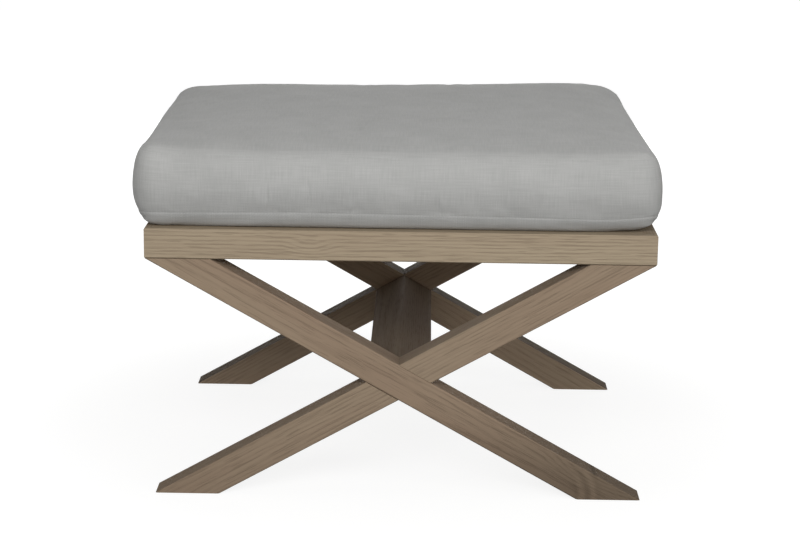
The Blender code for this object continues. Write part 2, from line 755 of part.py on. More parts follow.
def zip_pull(metal, slider):
    """The pull, with its bar under the slider's bridge. It lies along the closed teeth."""
    height = TEETH_THICKNESS / 2 + FIT + SLIDER_PLATE + BRIDGE_ROOM / 2
    place = Matrix.Translation(parent_place(slider) + Vector((0.0, height, 0.0)))
    bar = PULL_BAR / 2
    half = PULL_WIDTH / 2
    round_centre = half - PULL_LENGTH
    outline = [(bar, -half), (bar, half)]
    for step in range(ROUND_SIDES // 2 + 1):
        angle = math.pi / 2 + math.pi * step / (ROUND_SIDES // 2)
        outline.append((round_centre + half * math.cos(angle), half * math.sin(angle)))
    rings = [[(x, y, z) for x, z in outline] for y in (-PULL_THICKNESS / 2, PULL_THICKNESS / 2)]
    pull = add("zip_pull", stack("zip_pull", rings), metal, place, slider)
    slot_end = BRIDGE_LENGTH / 2 + 2 * FIT
    low = (-slot_end, -BEYOND, -PULL_SLOT_WIDTH / 2)
    high = (-bar, BEYOND, PULL_SLOT_WIDTH / 2)
    cut("pull_slot", block_mesh("pull_slot", low, high), place, pull)


def build():
    for old in list(bpy.data.objects):
        bpy.data.objects.remove(old)
    oak = finish("weathered_oak", (0.266, 0.216, 0.165), 0.72)
    beech = finish("beech_dowel", (0.52, 0.36, 0.21), 0.7)
    ply = finish("birch_plywood", (0.56, 0.43, 0.28), 0.65)
    pine = finish("pine_block", (0.60, 0.45, 0.27), 0.7)
    steel = finish("zinc_plated_steel", (0.60, 0.60, 0.58), 0.35, 1.0)
    linen = finish("grey_linen", (0.36, 0.36, 0.35), 0.9)
    foam = finish("cushion_foam", (0.75, 0.70, 0.55), 0.95)
    tape = finish("polyester_tape", (0.30, 0.30, 0.29), 0.85)
    nylon = finish("nylon_coil", (0.28, 0.28, 0.27), 0.45)
    zinc = finish("cast_zinc", (0.42, 0.42, 0.42), 0.4, 1.0)

    rails = seat_frame(oak)
    frames = {"front": x_frame("front", Matrix(), oak), "back": x_frame("back", half_turn(), oak)}
    mitre_tongues(rails, ply)
    corner_blocks(rails, pine, steel)
    seat_deck(rails, ply, steel)
    leg_dowels(frames, rails, beech)
    stretcher(frames, oak, beech)

    cushion = bpy.data.objects.new("cushion", None)
    cushion.location = (0.0, 0.0, CUSHION_BASE)
    bpy.context.scene.collection.objects.link(cushion)
    cushion_fill(foam, cushion)
    panel("cover_bottom", under_rings(0.0), under_rings(SKIN), LOWER_SEAM - FIT / 2, linen, cushion)
    cover_band(linen, cushion)
    back_strips(linen, cushion)
    panel("cover_top", crown_rings(0.0)[::-1], crown_rings(SKIN)[::-1], UPPER_SEAM + FIT / 2, linen, cushion)
    zip_strips(tape, nylon, zinc, cushion)
    zip_pull(zinc, zip_slider(zinc, cushion))


build()
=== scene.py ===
"""Looks of an X-frame ottoman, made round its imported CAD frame.

The oak, the deck and its joinery keep their CAD solids and get their materials here. The linen cushion, its
stitching, the zip and the screws are made here. The last operator sets up a pale studio.

Metres, +Z up, the front towards -Y, as in the CAD.
"""

import math
from functools import partial, wraps

import bmesh
import bpy
import numpy as np
from mathutils import Matrix, Vector, noise


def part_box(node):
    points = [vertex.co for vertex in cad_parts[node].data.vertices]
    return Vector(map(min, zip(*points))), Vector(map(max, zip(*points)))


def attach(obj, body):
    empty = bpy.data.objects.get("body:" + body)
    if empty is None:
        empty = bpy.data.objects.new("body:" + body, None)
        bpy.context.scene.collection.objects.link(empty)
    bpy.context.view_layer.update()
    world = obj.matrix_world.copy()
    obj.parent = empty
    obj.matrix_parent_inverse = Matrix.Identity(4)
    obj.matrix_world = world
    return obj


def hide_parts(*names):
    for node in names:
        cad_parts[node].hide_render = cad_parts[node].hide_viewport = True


bl_info = {
    "name": "X-Frame Ottoman",
    "version": (1, 0, 0),
    "blender": (4, 5, 0),
    "location": "3D View > Sidebar > Ottoman",
    "description": "Dresses the frame of an X-frame ottoman with oak, linen and a zip",
    "category": "Object",
}

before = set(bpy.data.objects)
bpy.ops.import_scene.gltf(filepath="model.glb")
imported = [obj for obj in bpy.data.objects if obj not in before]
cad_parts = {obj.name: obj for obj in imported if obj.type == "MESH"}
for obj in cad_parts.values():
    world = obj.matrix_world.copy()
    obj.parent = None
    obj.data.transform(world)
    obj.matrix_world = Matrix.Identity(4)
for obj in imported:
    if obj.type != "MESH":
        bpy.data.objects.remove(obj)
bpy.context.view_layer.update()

MM = 0.001

# Where the CAD has the cushion and its zip
BAND_LOW, BAND_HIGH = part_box("cover_band")
LOWER_SEAM = BAND_LOW.z
UPPER_SEAM = BAND_HIGH.z
BAND_MIDDLE = (LOWER_SEAM + UPPER_SEAM) / 2
BAND_HALF = (UPPER_SEAM - LOWER_SEAM) / 2
CUSHION_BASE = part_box("cover_bottom")[0].z
CUSHION_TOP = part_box("cover_top")[1].z
TAPE_LOW, TAPE_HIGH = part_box("zip_tape_upper")
TAPE_Y = (TAPE_LOW.y + TAPE_HIGH.y) / 2

# Sides of the seams in plan: the outward direction, and the way round, anticlockwise from above
SIDES = (
    ("front", (0, -1), (1, 0)),
    ("right", (1, 0), (0, 1)),
    ("back", (0, 1), (-1, 0)),
    ("left", (-1, 0), (0, -1)),
)

# Sockets of the Mix node when it mixes colours
MIX_A, MIX_B, MIX_RESULT = 6, 7, 2


# Colours and nodes


def linear(hex_colour):
    """Turns a colour written as sRGB hex into the linear values that Blender works in."""
    values = [int(hex_colour[i : i + 2], 16) / 255 for i in (1, 3, 5)]
    return tuple(v / 12.92 if v <= 0.04045 else ((v + 0.055) / 1.055) ** 2.4 for v in values)


def opaque(hex_colour):
    return (*linear(hex_colour), 1.0)


def add_node(tree, kind, inputs=(), **settings):
    """Adds a node and returns its outputs.

    inputs fills the sockets in their order, or by name or number in a dict. An output among them is linked.
    """
    made = tree.nodes.new("ShaderNode" + kind)
    for key, value in settings.items():
        setattr(made, key, value)
    for key, value in inputs.items() if isinstance(inputs, dict) else enumerate(inputs):
        socket = made.inputs[key]
        if isinstance(value, bpy.types.NodeSocket):
            tree.links.new(value, socket)
        else:
            socket.default_value = value
    return made.outputs


def material(pattern):
    """Makes a material of a function that draws the pattern and returns what the shader's sockets get."""

    @wraps(pattern)
    def make(name, *about):
        made = bpy.data.materials.new(name)
        made.use_nodes = True
        made.node_tree.nodes.clear()
        node = partial(add_node, made.node_tree)
        shader = node("BsdfPrincipled", pattern(node, *about))
        node("OutputMaterial", (shader[0],))
        return made

    return make


def seen_by_camera(node):
    """Is 1 for what the camera sees, also in a reflection or through glass, and 0 for the light on the object."""
    path = node("LightPath")
    seen = node("Math", (path["Is Camera Ray"], path["Is Glossy Ray"]), operation="MAXIMUM")[0]
    return node("Math", (seen, path["Is Transmission Ray"]), operation="MAXIMUM")[0]


# Materials


@material
def sawn_wood(node, species, grain, pith, seed, warmth=0.0, tone=1.0, foot=1.0, upper=1.0, knots=(), arches=()):
    """Solid wood with its grain along a direction.

    pith is where the middle of the log lies across the grain, from the piece's own place, in metres. Growth rings
    are cylinders round it, so a face that looks at the pith shows arches, and one that passes it straight lines.
    knots gives places on the face: there the rings bow out within a reach, round a dark core if it has one.
    arches gives places round which broad bands of figure bend, with their first radius and spacing. They die out
    after the second band.
    upper is how much of their colour the faces that lie upward keep: painted shade, for the shade of the seat and
    cushion above them.
    """
    along, across = (Vector(way).normalized() for way in grain[:2])
    turn = Matrix((along, across, along.cross(across)))
    place = turn @ Vector(grain[2])
    offset = Vector((seed * 1.37, pith[0] - place.y, pith[1] - place.z))
    given = node("TexCoord")
    board = node("Mapping", {"Vector": given["Object"], "Rotation": turn.to_euler("XYZ"), "Location": offset})[0]
    # Drawn out along the grain: the first is 9 times as long as wide, the fibres 29 times, and the rings run through.
    drawn, fibres, section = (
        node("VectorMath", (board, (share, 1, 1)), operation="MULTIPLY")[0] for share in (0.11, 0.035, 0)
    )
    # Each pattern's stretch, its size across the grain in mm, and its detail. Pores are short dashes of cut vessels.
    sway, ripple, patch, vessels, fibre = (
        node("TexNoise", {"Vector": stretch, "Scale": 1 / (size * MM), "Detail": detail})[0]
        for stretch, size, detail in (
            (drawn, species["sway_mm"], 1.5),
            (drawn, 9, 2.0),
            (drawn, 38, 2.0),
            (fibres, species["pore_mm"], 1.0),
            (fibres, 2.6, 3.0),
        )
    )
    radius = node("VectorMath", (section,), operation="LENGTH")["Value"]
    rings = node("Math", (radius, species["ring_mm"] * MM), operation="DIVIDE")[0]
    swayed = node("Math", (sway, species["sway"], rings), operation="MULTIPLY_ADD")[0]
    ringing = node("Math", (ripple, species["ripple"], swayed), operation="MULTIPLY_ADD")[0]
    cores = []
    for spot, reach, bow, core_mm in knots:
        apart = node("VectorMath", (board, turn @ Vector(spot) + offset), operation="SUBTRACT")[0]
        scaled = node("VectorMath", (apart, (0.5 / reach, 0, 1 / reach)), operation="MULTIPLY")[0]
        near = node("VectorMath", (scaled,), operation="LENGTH")["Value"]
        bowed = node("MapRange", (near, 0, 1, bow, 0), interpolation_type="SMOOTHSTEP")[0]
        ringing = node("Math", (ringing, bowed), operation="ADD")[0]
        if core_mm:
            cores.append(node("MapRange", (near, 0, core_mm * MM / reach, 1, 0))[0])
    turns = node("Math", (ringing, 2 * math.pi), operation="MULTIPLY")[0]
    wave = node("Math", (turns,), operation="SINE")[0]
    early = node("MapRange", (wave, -0.3, 1, 0, 1), interpolation_type="SMOOTHSTEP")[0]
    # The pores are thickest in the early wood.
    open_from = node("MapRange", (early, 0, 1, species["pores_from"] + 0.09, species["pores_from"]))[0]
    depth = node("Math", (vessels, open_from), operation="SUBTRACT")[0]
    pores = node("MapRange", (depth, 0, 0.07))[0]
    ring_share, pore_share = (
        node("Math", (share, species[strength]), operation="MULTIPLY")[0]
        for share, strength in ((early, "ring_strength"), (pores, "pore_strength"))
    )
    for core in cores:
        pore_share = node("Math", (pore_share, core), operation="MAXIMUM")[0]
    patches = node("MapRange", (patch, 0.35, 0.65, 0.75 * warmth, 0.25 + 0.75 * warmth))[0]
    colour = opaque(species["pale"])
    for share, other in ((patches, "warm"), (ring_share, "dark"), (pore_share, "pore")):
        sockets = {0: share, MIX_A: colour, MIX_B: opaque(species[other])}
        colour = node("Mix", sockets, data_type="RGBA")[MIX_RESULT]
    # Each board has its own tone, and some are darker towards the floor. Where a board lies in shade, as the stretcher
    # does, its low tone is painted shade.
    streak = node("MapRange", (fibre, 0.3, 0.7, 1 - species["streak"], 1))[0]
    height = node("SeparateXYZ", (given["Object"],))[2]
    tone_and_shade = node("MapRange", (height, 0, 0.14, tone * foot, tone), interpolation_type="SMOOTHSTEP")[0]
    shade = node("Math", (streak, tone_and_shade), operation="MULTIPLY")[0]
    # Painted shade: faces that lie upward are darkened, as the seat and cushion above shade them.
    if upper != 1.0:
        facing = node("SeparateXYZ", (given["Normal"],))[2]
        upward_painted_shade = node("MapRange", (facing, 0.6, 0.8, 1, upper))[0]
        shade = node("Math", (shade, upward_painted_shade), operation="MULTIPLY")[0]
    for spot, first_mm, spacing_mm, strength in arches:
        apart = node("VectorMath", (board, turn @ Vector(spot) + offset), operation="SUBTRACT")[0]
        onward = node("SeparateXYZ", (apart,))[0]
        flat = node("VectorMath", (apart, (1, 0, 1)), operation="MULTIPLY")[0]
        away = node("VectorMath", (flat,), operation="LENGTH")["Value"]
        uneven = node("Math", (ripple, 5 * MM, away), operation="MULTIPLY_ADD")[0]
        first, spacing = first_mm * MM, spacing_mm * MM
        phase = node("MapRange", (uneven, first, first + spacing, 0, 2 * math.pi), clamp=False)[0]
        band = node("Math", (phase,), operation="COSINE")[0]
        fades, starts, dies = (
            node("MapRange", limits, interpolation_type="SMOOTHSTEP")[0]
            for limits in (
                (onward, 8 * MM, 26 * MM, 0, strength),
                (away, first - 0.6 * spacing, first, 0, 1),
                (away, first + 1.1 * spacing, first + 2.4 * spacing, 1, 0),
            )
        )
        ends = node("Math", (starts, dies), operation="MULTIPLY")[0]
        reach = node("Math", (fades, ends), operation="MULTIPLY")[0]
        figure = node("Math", (band, reach), operation="MULTIPLY")[0]
        lighter = node("Math", (1, figure), operation="SUBTRACT")[0]
        shade = node("Math", (shade, lighter), operation="MULTIPLY")[0]
    sunk = node("Math", (pores, -1, fibre), operation="MULTIPLY_ADD")[0]
    relief = node("Math", (early, -0.35, sunk), operation="MULTIPLY_ADD")[0]
    return {
        "Base Color": node("VectorMath", {0: colour, "Scale": shade}, operation="SCALE")[0],
        "Roughness": node("MapRange", (pores, 0, 1, species["roughness"], 0.9))[0],
        "Normal": node("Bump", {"Height": relief, "Strength": 0.7, "Distance": species["relief_mm"] * MM})[0],
        "Specular IOR Level": 0.05,
    }


@material
def birch_plywood(node, looks):
    """Sanded birch plywood. The broad faces have faint rotary-cut figure, and the cut edges show the plies."""
    coords = node("TexCoord")["Object"]
    drawn = node("VectorMath", (coords, (0.12, 1, 1)), operation="MULTIPLY")[0]
    figure = node("TexNoise", {"Vector": drawn, "Scale": 1 / (26 * MM), "Detail": 3.0})[0]
    contour = node("Math", (figure, 58.0), operation="MULTIPLY")[0]
    height = node("SeparateXYZ", (coords,))[2]
    # A ply is 1.3 mm thick, and each second one shows its end grain, which is darker.
    plies = node("Math", (height, math.pi / (1.3 * MM)), operation="MULTIPLY")[0]
    shades = []
    for phase, *limits in ((contour, -1, 1, 0, 0.45), (plies, -0.2, 0.2, 0, 1)):
        wave = node("Math", (phase,), operation="SINE")[0]
        brown = node("MapRange", (wave, *limits))[0]
        sockets = {0: brown, MIX_A: opaque(looks.ply_pale), MIX_B: opaque(looks.ply_brown)}
        shades.append(node("Mix", sockets, data_type="RGBA")[MIX_RESULT])
    up = node("SeparateXYZ", (node("NewGeometry")["Normal"],))[2]
    level = node("Math", (up,), operation="ABSOLUTE")[0]
    return {
        "Base Color": node("Mix", {0: level, MIX_A: shades[1], MIX_B: shades[0]}, data_type="RGBA")[MIX_RESULT],
        "Roughness": 0.62,
        "Normal": node("Bump", {"Height": figure, "Strength": 0.3, "Distance": 0.2 * MM})[0],
        "IOR": 1.46,
    }


@material
def washed_linen(node, looks):
    """Plain-woven linen, washed soft: matt, with slubs in both yarns and slightly mixed greys.

    It reads the cloth's own measures from the UV map, in metres along the weft and the warp. The real cloth has
    about 16 threads to the centimetre. They are drawn 0.9 mm wide, so that the weave still shows a step away.
    """
    cloth = node("UVMap", uv_map="cloth")[0]
    run = node("VectorMath", {0: cloth, "Scale": math.pi / looks.thread}, operation="SCALE")[0]
    over = node("VectorMath", (run,), operation="SINE")[0]
    crossing = node("SeparateXYZ", (over,))
    knuckles = node("Math", (crossing[0], crossing[1]), operation="MULTIPLY")[0]
    slubs = []
    for stretch in ((0.035, 1, 1), (1, 0.045, 1)):
        drawn = node("VectorMath", (cloth, stretch), operation="MULTIPLY")[0]
        yarn = node("TexNoise", {"Vector": drawn, "Scale": 1 / (1.3 * MM), "Detail": 1.0})[0]
        slubs.append(node("MapRange", (yarn, 0.30, 0.72))[0])
    mixed = node("Math", slubs, operation="ADD")[0]
    paler = node("Math", (mixed, 0.5), operation="MULTIPLY")[0]
    greys = {0: paler, MIX_A: opaque(looks.linen_dark), MIX_B: opaque(looks.linen_pale)}
    grey = node("Mix", greys, data_type="RGBA")[MIX_RESULT]
    wash = node("TexNoise", {"Vector": cloth, "Scale": 1 / (55 * MM), "Detail": 2.0})[0]
    washed = node("MapRange", (wash, 0.3, 0.7, 0.955, 1.03))[0]
    # Painted shade and highlight: the weave's hollows a touch darker, its crossings a touch lighter.
    hollow = node("MapRange", (knuckles, -1, 1, 0.95, 1.02))[0]
    light = node("Math", (washed, hollow), operation="MULTIPLY")[0]
    thick = node("Math", (mixed, 0.9, knuckles), operation="MULTIPLY_ADD")[0]
    return {
        "Base Color": node("VectorMath", {0: grey, "Scale": light}, operation="SCALE")[0],
        "Roughness": 0.92,
        "Normal": node("Bump", {"Height": thick, "Strength": 0.4, "Distance": 0.2 * MM})[0],
        "Sheen Weight": 0.12,
        "Sheen Roughness": 0.5,
        "Specular IOR Level": 0.25,
    }


@material
def polyester_thread(node, looks):
    """Spun polyester sewing thread: matt, with a fine twist that is drawn every 0.7 mm so that it shows."""
    coords = node("TexCoord")["Object"]
    turned = node("VectorMath", (coords, (1, 0, 1)), operation="DOT_PRODUCT")["Value"]
    phase = node("Math", (turned, 2 * math.pi / (0.7 * MM)), operation="MULTIPLY")[0]
    twist = node("Math", (phase,), operation="SINE")[0]
    shade = node("MapRange", (twist, -1, 1, 0.9, 1.05))[0]
    return {
        "Base Color": node("VectorMath", {0: linear(looks.thread_colour), "Scale": shade}, operation="SCALE")[0],
        "Roughness": 0.7,
        "Normal": node("Bump", {"Height": twist, "Strength": 0.4, "Distance": 0.08 * MM})[0],
        "Sheen Weight": 0.2,
        "IOR": 1.54,
    }


@material
def woven_tape(node, looks):
    """Woven polyester zip tape: a herringbone with ribs about 1 mm apart, slightly shiny along the warp."""
    coords = node("TexCoord")["Object"]
    axes = node("SeparateXYZ", (coords,))
    zigzag = node("Math", (axes[2], 1.6 * MM), operation="PINGPONG")[0]
    slant = node("Math", (axes[0], zigzag), operation="ADD")[0]
    phase = node("Math", (slant, 2 * math.pi / (1.0 * MM)), operation="MULTIPLY")[0]
    ribs = node("Math", (phase,), operation="SINE")[0]
    stretched = node("VectorMath", (coords, (0.2, 1, 1)), operation="MULTIPLY")[0]
    yarn = node("TexNoise", {"Vector": stretched, "Scale": 1 / (0.8 * MM), "Detail": 1.0})[0]
    mixed = node("Math", (yarn, 1.2, ribs), operation="MULTIPLY_ADD")[0]
    shade = node("MapRange", (mixed, -0.6, 1.6, 0.78, 1.05))[0]
    return {
        "Base Color": node("VectorMath", {0: linear(looks.tape_colour), "Scale": shade}, operation="SCALE")[0],
        "Roughness": 0.72,
        "Normal": node("Bump", {"Height": mixed, "Strength": 0.5, "Distance": 0.12 * MM})[0],
        "Sheen Weight": 0.15,
        "IOR": 1.54,
    }


@material
def nylon_coil(node, looks):
    """Drawn nylon monofilament, wound into the zip's coil: smooth, half gloss, and a little uneven in its grey."""
    coords = node("TexCoord")["Object"]
    dye, rub = (
        node("TexNoise", {"Vector": coords, "Scale": 1 / (size * MM), "Detail": 2.0})[0] for size in (14, 0.5)
    )
    shade = node("MapRange", (dye, 0.3, 0.7, 0.93, 1.05))[0]
    return {
        "Base Color": node("VectorMath", {0: linear(looks.nylon_colour), "Scale": shade}, operation="SCALE")[0],
        "Roughness": node("MapRange", (rub, 0, 1, 0.36, 0.52))[0],
        "IOR": 1.53,
    }


@material
def cast_zinc(node, looks):
    """Die-cast zinc, tumbled and nickelled: soft gloss, faint pits and rub marks a few tenths of a mm across."""
    coords = node("TexCoord")["Object"]
    return clouded_metal(node, looks.zinc_colour, coords, 3, (0.26, 0.46), (0.9, 1.05), coords, 0.35, 0.25, 0.04)


@material
def plated_steel(node, looks):
    """Zinc-plated steel: a bright, slightly bluish plating, drawn along the shank and cloudy on the heads."""
    coords = node("TexCoord")["Object"]
    drawn = node("VectorMath", (coords, (1, 1, 0.15)), operation="MULTIPLY")[0]
    return clouded_metal(node, looks.steel_colour, coords, 2.5, (0.22, 0.42), (0.88, 1.04), drawn, 0.4, 0.2, 0.05)


def clouded_metal(node, colour, coords, cloud_mm, rough, shades, fine, fine_mm, strength, depth_mm):
    """A metal whose gloss and shade vary together in clouds, under finer marks in relief."""
    cloud = node("TexNoise", {"Vector": coords, "Scale": 1 / (cloud_mm * MM), "Detail": 3.0})[0]
    marks = node("TexNoise", {"Vector": fine, "Scale": 1 / (fine_mm * MM), "Detail": 2.0})[0]
    shade = node("MapRange", (cloud, 0, 1, *shades))[0]
    return {
        "Base Color": node("VectorMath", {0: linear(colour), "Scale": shade}, operation="SCALE")[0],
        "Metallic": 1.0,
        "Roughness": node("MapRange", (cloud, 0, 1, *rough))[0],
        "Normal": node("Bump", {"Height": marks, "Strength": strength, "Distance": depth_mm * MM})[0],
    }


@material
def studio_floor(node, looks):
    """Matt white board. It shows white to the camera and in reflections, and keeps the ottoman's shadow."""
    seen = seen_by_camera(node)
    away = node("VectorMath", (node("TexCoord")["Object"],), operation="LENGTH")["Value"]
    lift = node("MapRange", (away, 0.35, 0.9, looks.floor_lift, 1), interpolation_type="SMOOTHSTEP")[0]
    return {
        "Base Color": opaque(looks.floor_colour),
        "Roughness": 1.0,
        "Specular IOR Level": 0.0,
        "Emission Color": opaque("#ffffff"),
        "Emission Strength": node("Math", (seen, lift), operation="MULTIPLY")[0],
    }


# Cushion: a grid for each panel, and rings of points between them

# Numbers of the panels: the top, the band and the bottom
TOP, BAND, BOTTOM = 0, 1, 2
# Creases that cross the front's upper seam: place along it, length on the top and on the band, slant and height
CREASES = (
    (-0.157, 0.030, 0.004, 0.03, 0.45 * MM),
    (-0.108, 0.034, 0.008, -0.02, 0.55 * MM),
    (-0.057, 0.034, 0.006, 0.05, 0.45 * MM),
    (0.054, 0.020, 0.012, 0.04, 0.3 * MM),
)
# Slack folds low on the front of the band: place along it, height over the seam, half length, slant and depth
SLACK_FOLDS = (
    (-0.062, 0.013, 0.012, 0.22, 0.5 * MM),
    (-0.048, 0.012, 0.013, 0.16, 0.5 * MM),
    (-0.123, 0.017, 0.009, 0.05, 0.35 * MM),
    (0.145, 0.014, 0.010, -0.12, 0.35 * MM),
)
# Section of the back from the middle of the band to a seam, in mm: level and distance out from the seams' line
BACK_LEVELS = (0, 4, 7.4, 9, 14, 20, 24, 28.5, 33, 36.5, 38.5)
BACK_OUTS = (3.6, 3.7, 4.3, 5.0, 6.8, 8.4, 8.84, 8.4, 5.9, 2.6, 0)
# Section of the slot between the back's two strips, in which the zip lies
POCKET_LEVELS = (0, 5.9, 6.3, 6.6, 6.9, 7.4)
POCKET_OUTS = (0.6, 0.6, 0.7, 2.2, 3.6, 4.3)
# Lengths over which the slot closes past its ends, and over which the back passes into the full band
SLOT_CLOSES, STRIP_PASSES = 6 * MM, 14 * MM

# Rows of the band, as distances from its middle in mm
COARSE_LEVELS = (0, 4.3, 8.6, 13, 17.3, 21.6, 26, 30.3, 34.5)
FINE_LEVELS = (0, 3.0, 5.9, 6.3, 6.6, 6.9, 7.4, 8.2, 10, 13, 16.5, 20, 24, 28.5, 32, 34.6, 36.3, 37.4, 38.1)
# Rings of each panel next to the seam, as distances in from it in mm
FINE_RINGS = (0.4, 0.9, 1.7, 2.8)
# How far in from the seam a panel's grid begins
GRID_INSET = 4.2 * MM


def smooth(value, low, high):
    part = np.clip((value - low) / (high - low), 0, 1)
    return part * part * (3 - 2 * part)


def bell(distance, width):
    return np.exp(-((distance / width) ** 2))


def in_metres(lengths):
    return [length * MM for length in lengths]


def seam_plan(looks):
    """Points round the seams: place, outward direction, share of the back, and distance round. Then the perimeter."""
    rows = []
    travelled = 0.0
    for side, outward, onward in SIDES:
        along_x = side in ("front", "back")
        half, other = looks.half_depth, looks.half_width
        if not along_x:
            half, other = other, half
        count = looks.cells_x if along_x else looks.cells_y
        # Radius of the corner where the side starts, and of the one where it ends
        first = looks.corner if side in ("front", "right") else looks.corner_back
        last = looks.corner if side in ("front", "left") else looks.corner_back
        start, reach = first * (1 - math.pi / 4) - other, other - last * (1 - math.pi / 4)
        run = np.linspace(start, reach, count + 1)[:-1]
        if side == "back":
            run = crowded(run, reach, (-looks.strip_half, looks.strip_half))
        elif side == "front":
            run = crowded(run, reach, [crease[0] for crease in CREASES])
        corner = np.where(run < 0, first, last)
        straight = other - corner
        bend = np.maximum(np.abs(run) - straight, 0) / corner
        forward = np.sign(run) * np.sin(bend)
        along = np.clip(run, -straight, straight)
        drawn = looks.draw_in * (1 - (along / straight) ** 2) * (side != "back")
        out = np.outer(np.cos(bend), outward) + np.outer(forward, onward)
        centre = np.outer(half - corner, outward) + np.outer(along, onward)
        place = centre + corner[:, None] * out - np.outer(drawn, outward)
        turned = bend / (math.pi / 2)
        if side == "back":
            share = 1 - turned
        else:
            share = np.where(run > 0 if side == "right" else run < 0, turned, 0.0) * (side != "front")
        rows.append(np.column_stack((place, out, share, travelled + run - start)))
        travelled += reach - start
    return np.vstack(rows), travelled


def crowded(run, reach, places):
    """Draws the points of a side together at a few places, where fine seams or creases cross it."""
    fine = np.linspace(-reach, reach, 4001)
    # Seven times as close at each place, back to even spacing a few mm away
    density = 1 + sum(6 * bell(fine - place, 2.5 * MM) for place in places)
    reached = np.cumsum(density) - density[0]
    return np.interp((run + reach) / (2 * reach) * reached[-1], reached, fine)


def grid_edge(cells_x, cells_y):
    """A grid's points round its edge, in the order of seam_plan, as numbers in the grid."""
    wide = cells_x + 1
    x, y = np.arange(cells_x), np.arange(cells_y)
    last = cells_y * wide
    return np.concatenate((x, y * wide + cells_x, last + cells_x - x, last - y * wide))


def fill_grid(edge, cells_x, cells_y):
    """Fills a grid between the points of its edge, each inner point from the four edge points level with it."""
    wide, deep = cells_x + 1, cells_y + 1
    front = edge[: cells_x + 1]
    right = edge[cells_x : cells_x + cells_y + 1]
    back = edge[cells_x + cells_y : 2 * cells_x + cells_y + 1][::-1]
    left = np.vstack((edge[2 * cells_x + cells_y :], edge[:1]))[::-1]
    u = np.linspace(0, 1, wide)[None, :, None]
    v = np.linspace(0, 1, deep)[:, None, None]
    ruled = (1 - v) * front[None] + v * back[None] + (1 - u) * left[:, None] + u * right[:, None]
    corners = (
        (1 - u) * (1 - v) * front[0] + u * (1 - v) * front[-1] + (1 - u) * v * back[0] + u * v * back[-1]
    )
    return (ruled - corners).reshape(wide * deep, -1)


def inward_share(looks):
    """How far each point of a panel's grid is on the way from the seam to the middle."""
    # Below 0 the power mean leans to the smaller of the two shares, and tiny keeps it clear of 0.
    power, tiny = -3.5, 1e-9
    u = (1 - np.abs(np.linspace(-1, 1, looks.cells_x + 1))[None, :] + tiny) ** power
    v = (1 - np.abs(np.linspace(-1, 1, looks.cells_y + 1))[:, None] + tiny) ** power
    towards_x = u / (u + v)
    at_edge = towards_x * (GRID_INSET / looks.half_width) + (1 - towards_x) * (GRID_INSET / looks.half_depth)
    return (at_edge + (1 - at_edge) * (u + v) ** (1 / power)).ravel()


def crown_rise(share, looks):
    """The rise of the top from its seam: a quick turn at the edge, and a slow swell over the filling."""
    away = 1 - np.clip(share, 0, 1)
    swell = CUSHION_TOP - UPPER_SEAM - looks.edge_rise
    return looks.edge_rise * (1 - away**looks.edge_fullness) + swell * (1 - away**looks.crown_fullness)


def under_drop(distance, looks):
    """The drop from the lower seam to where the cushion rests: an ellipse that starts a little way round its turn."""
    away = np.clip(1 - distance / looks.under_width, 0, 1) * math.cos(looks.under_start)
    start = math.sin(looks.under_start)
    return (LOWER_SEAM - CUSHION_BASE) * (np.sqrt(1 - away**2) - start) / (1 - start)


def band_out(height, share, x, looks, pocket):
    """How far the band stands out from the seams at a height from its middle. It is fullest a little lower down."""
    above = height - looks.fullest
    turn, reach = (looks.bulge_upper, BAND_HALF) if above > 0 else (looks.bulge_lower, -BAND_HALF)
    seam = 0.0 if above > 0 else looks.lower_out
    front = seam + (looks.bulge - seam) * (1 - np.abs(above / (reach - looks.fullest)) ** turn)
    level = np.abs(height)
    back = np.interp(level, in_metres(BACK_LEVELS), in_metres(BACK_OUTS))
    if pocket and level < POCKET_LEVELS[-1] * MM:
        sunk = np.interp(level, in_metres(POCKET_LEVELS), in_metres(POCKET_OUTS))
        back = sunk + (back - sunk) * smooth(np.abs(x), looks.pocket_half, looks.pocket_half + SLOT_CLOSES)
    # Past the strips' ends the back is as full as the rest of the band
    back = back + (front - back) * smooth(np.abs(x), looks.strip_half, looks.strip_half + STRIP_PASSES)
    return front + (back - front) * share


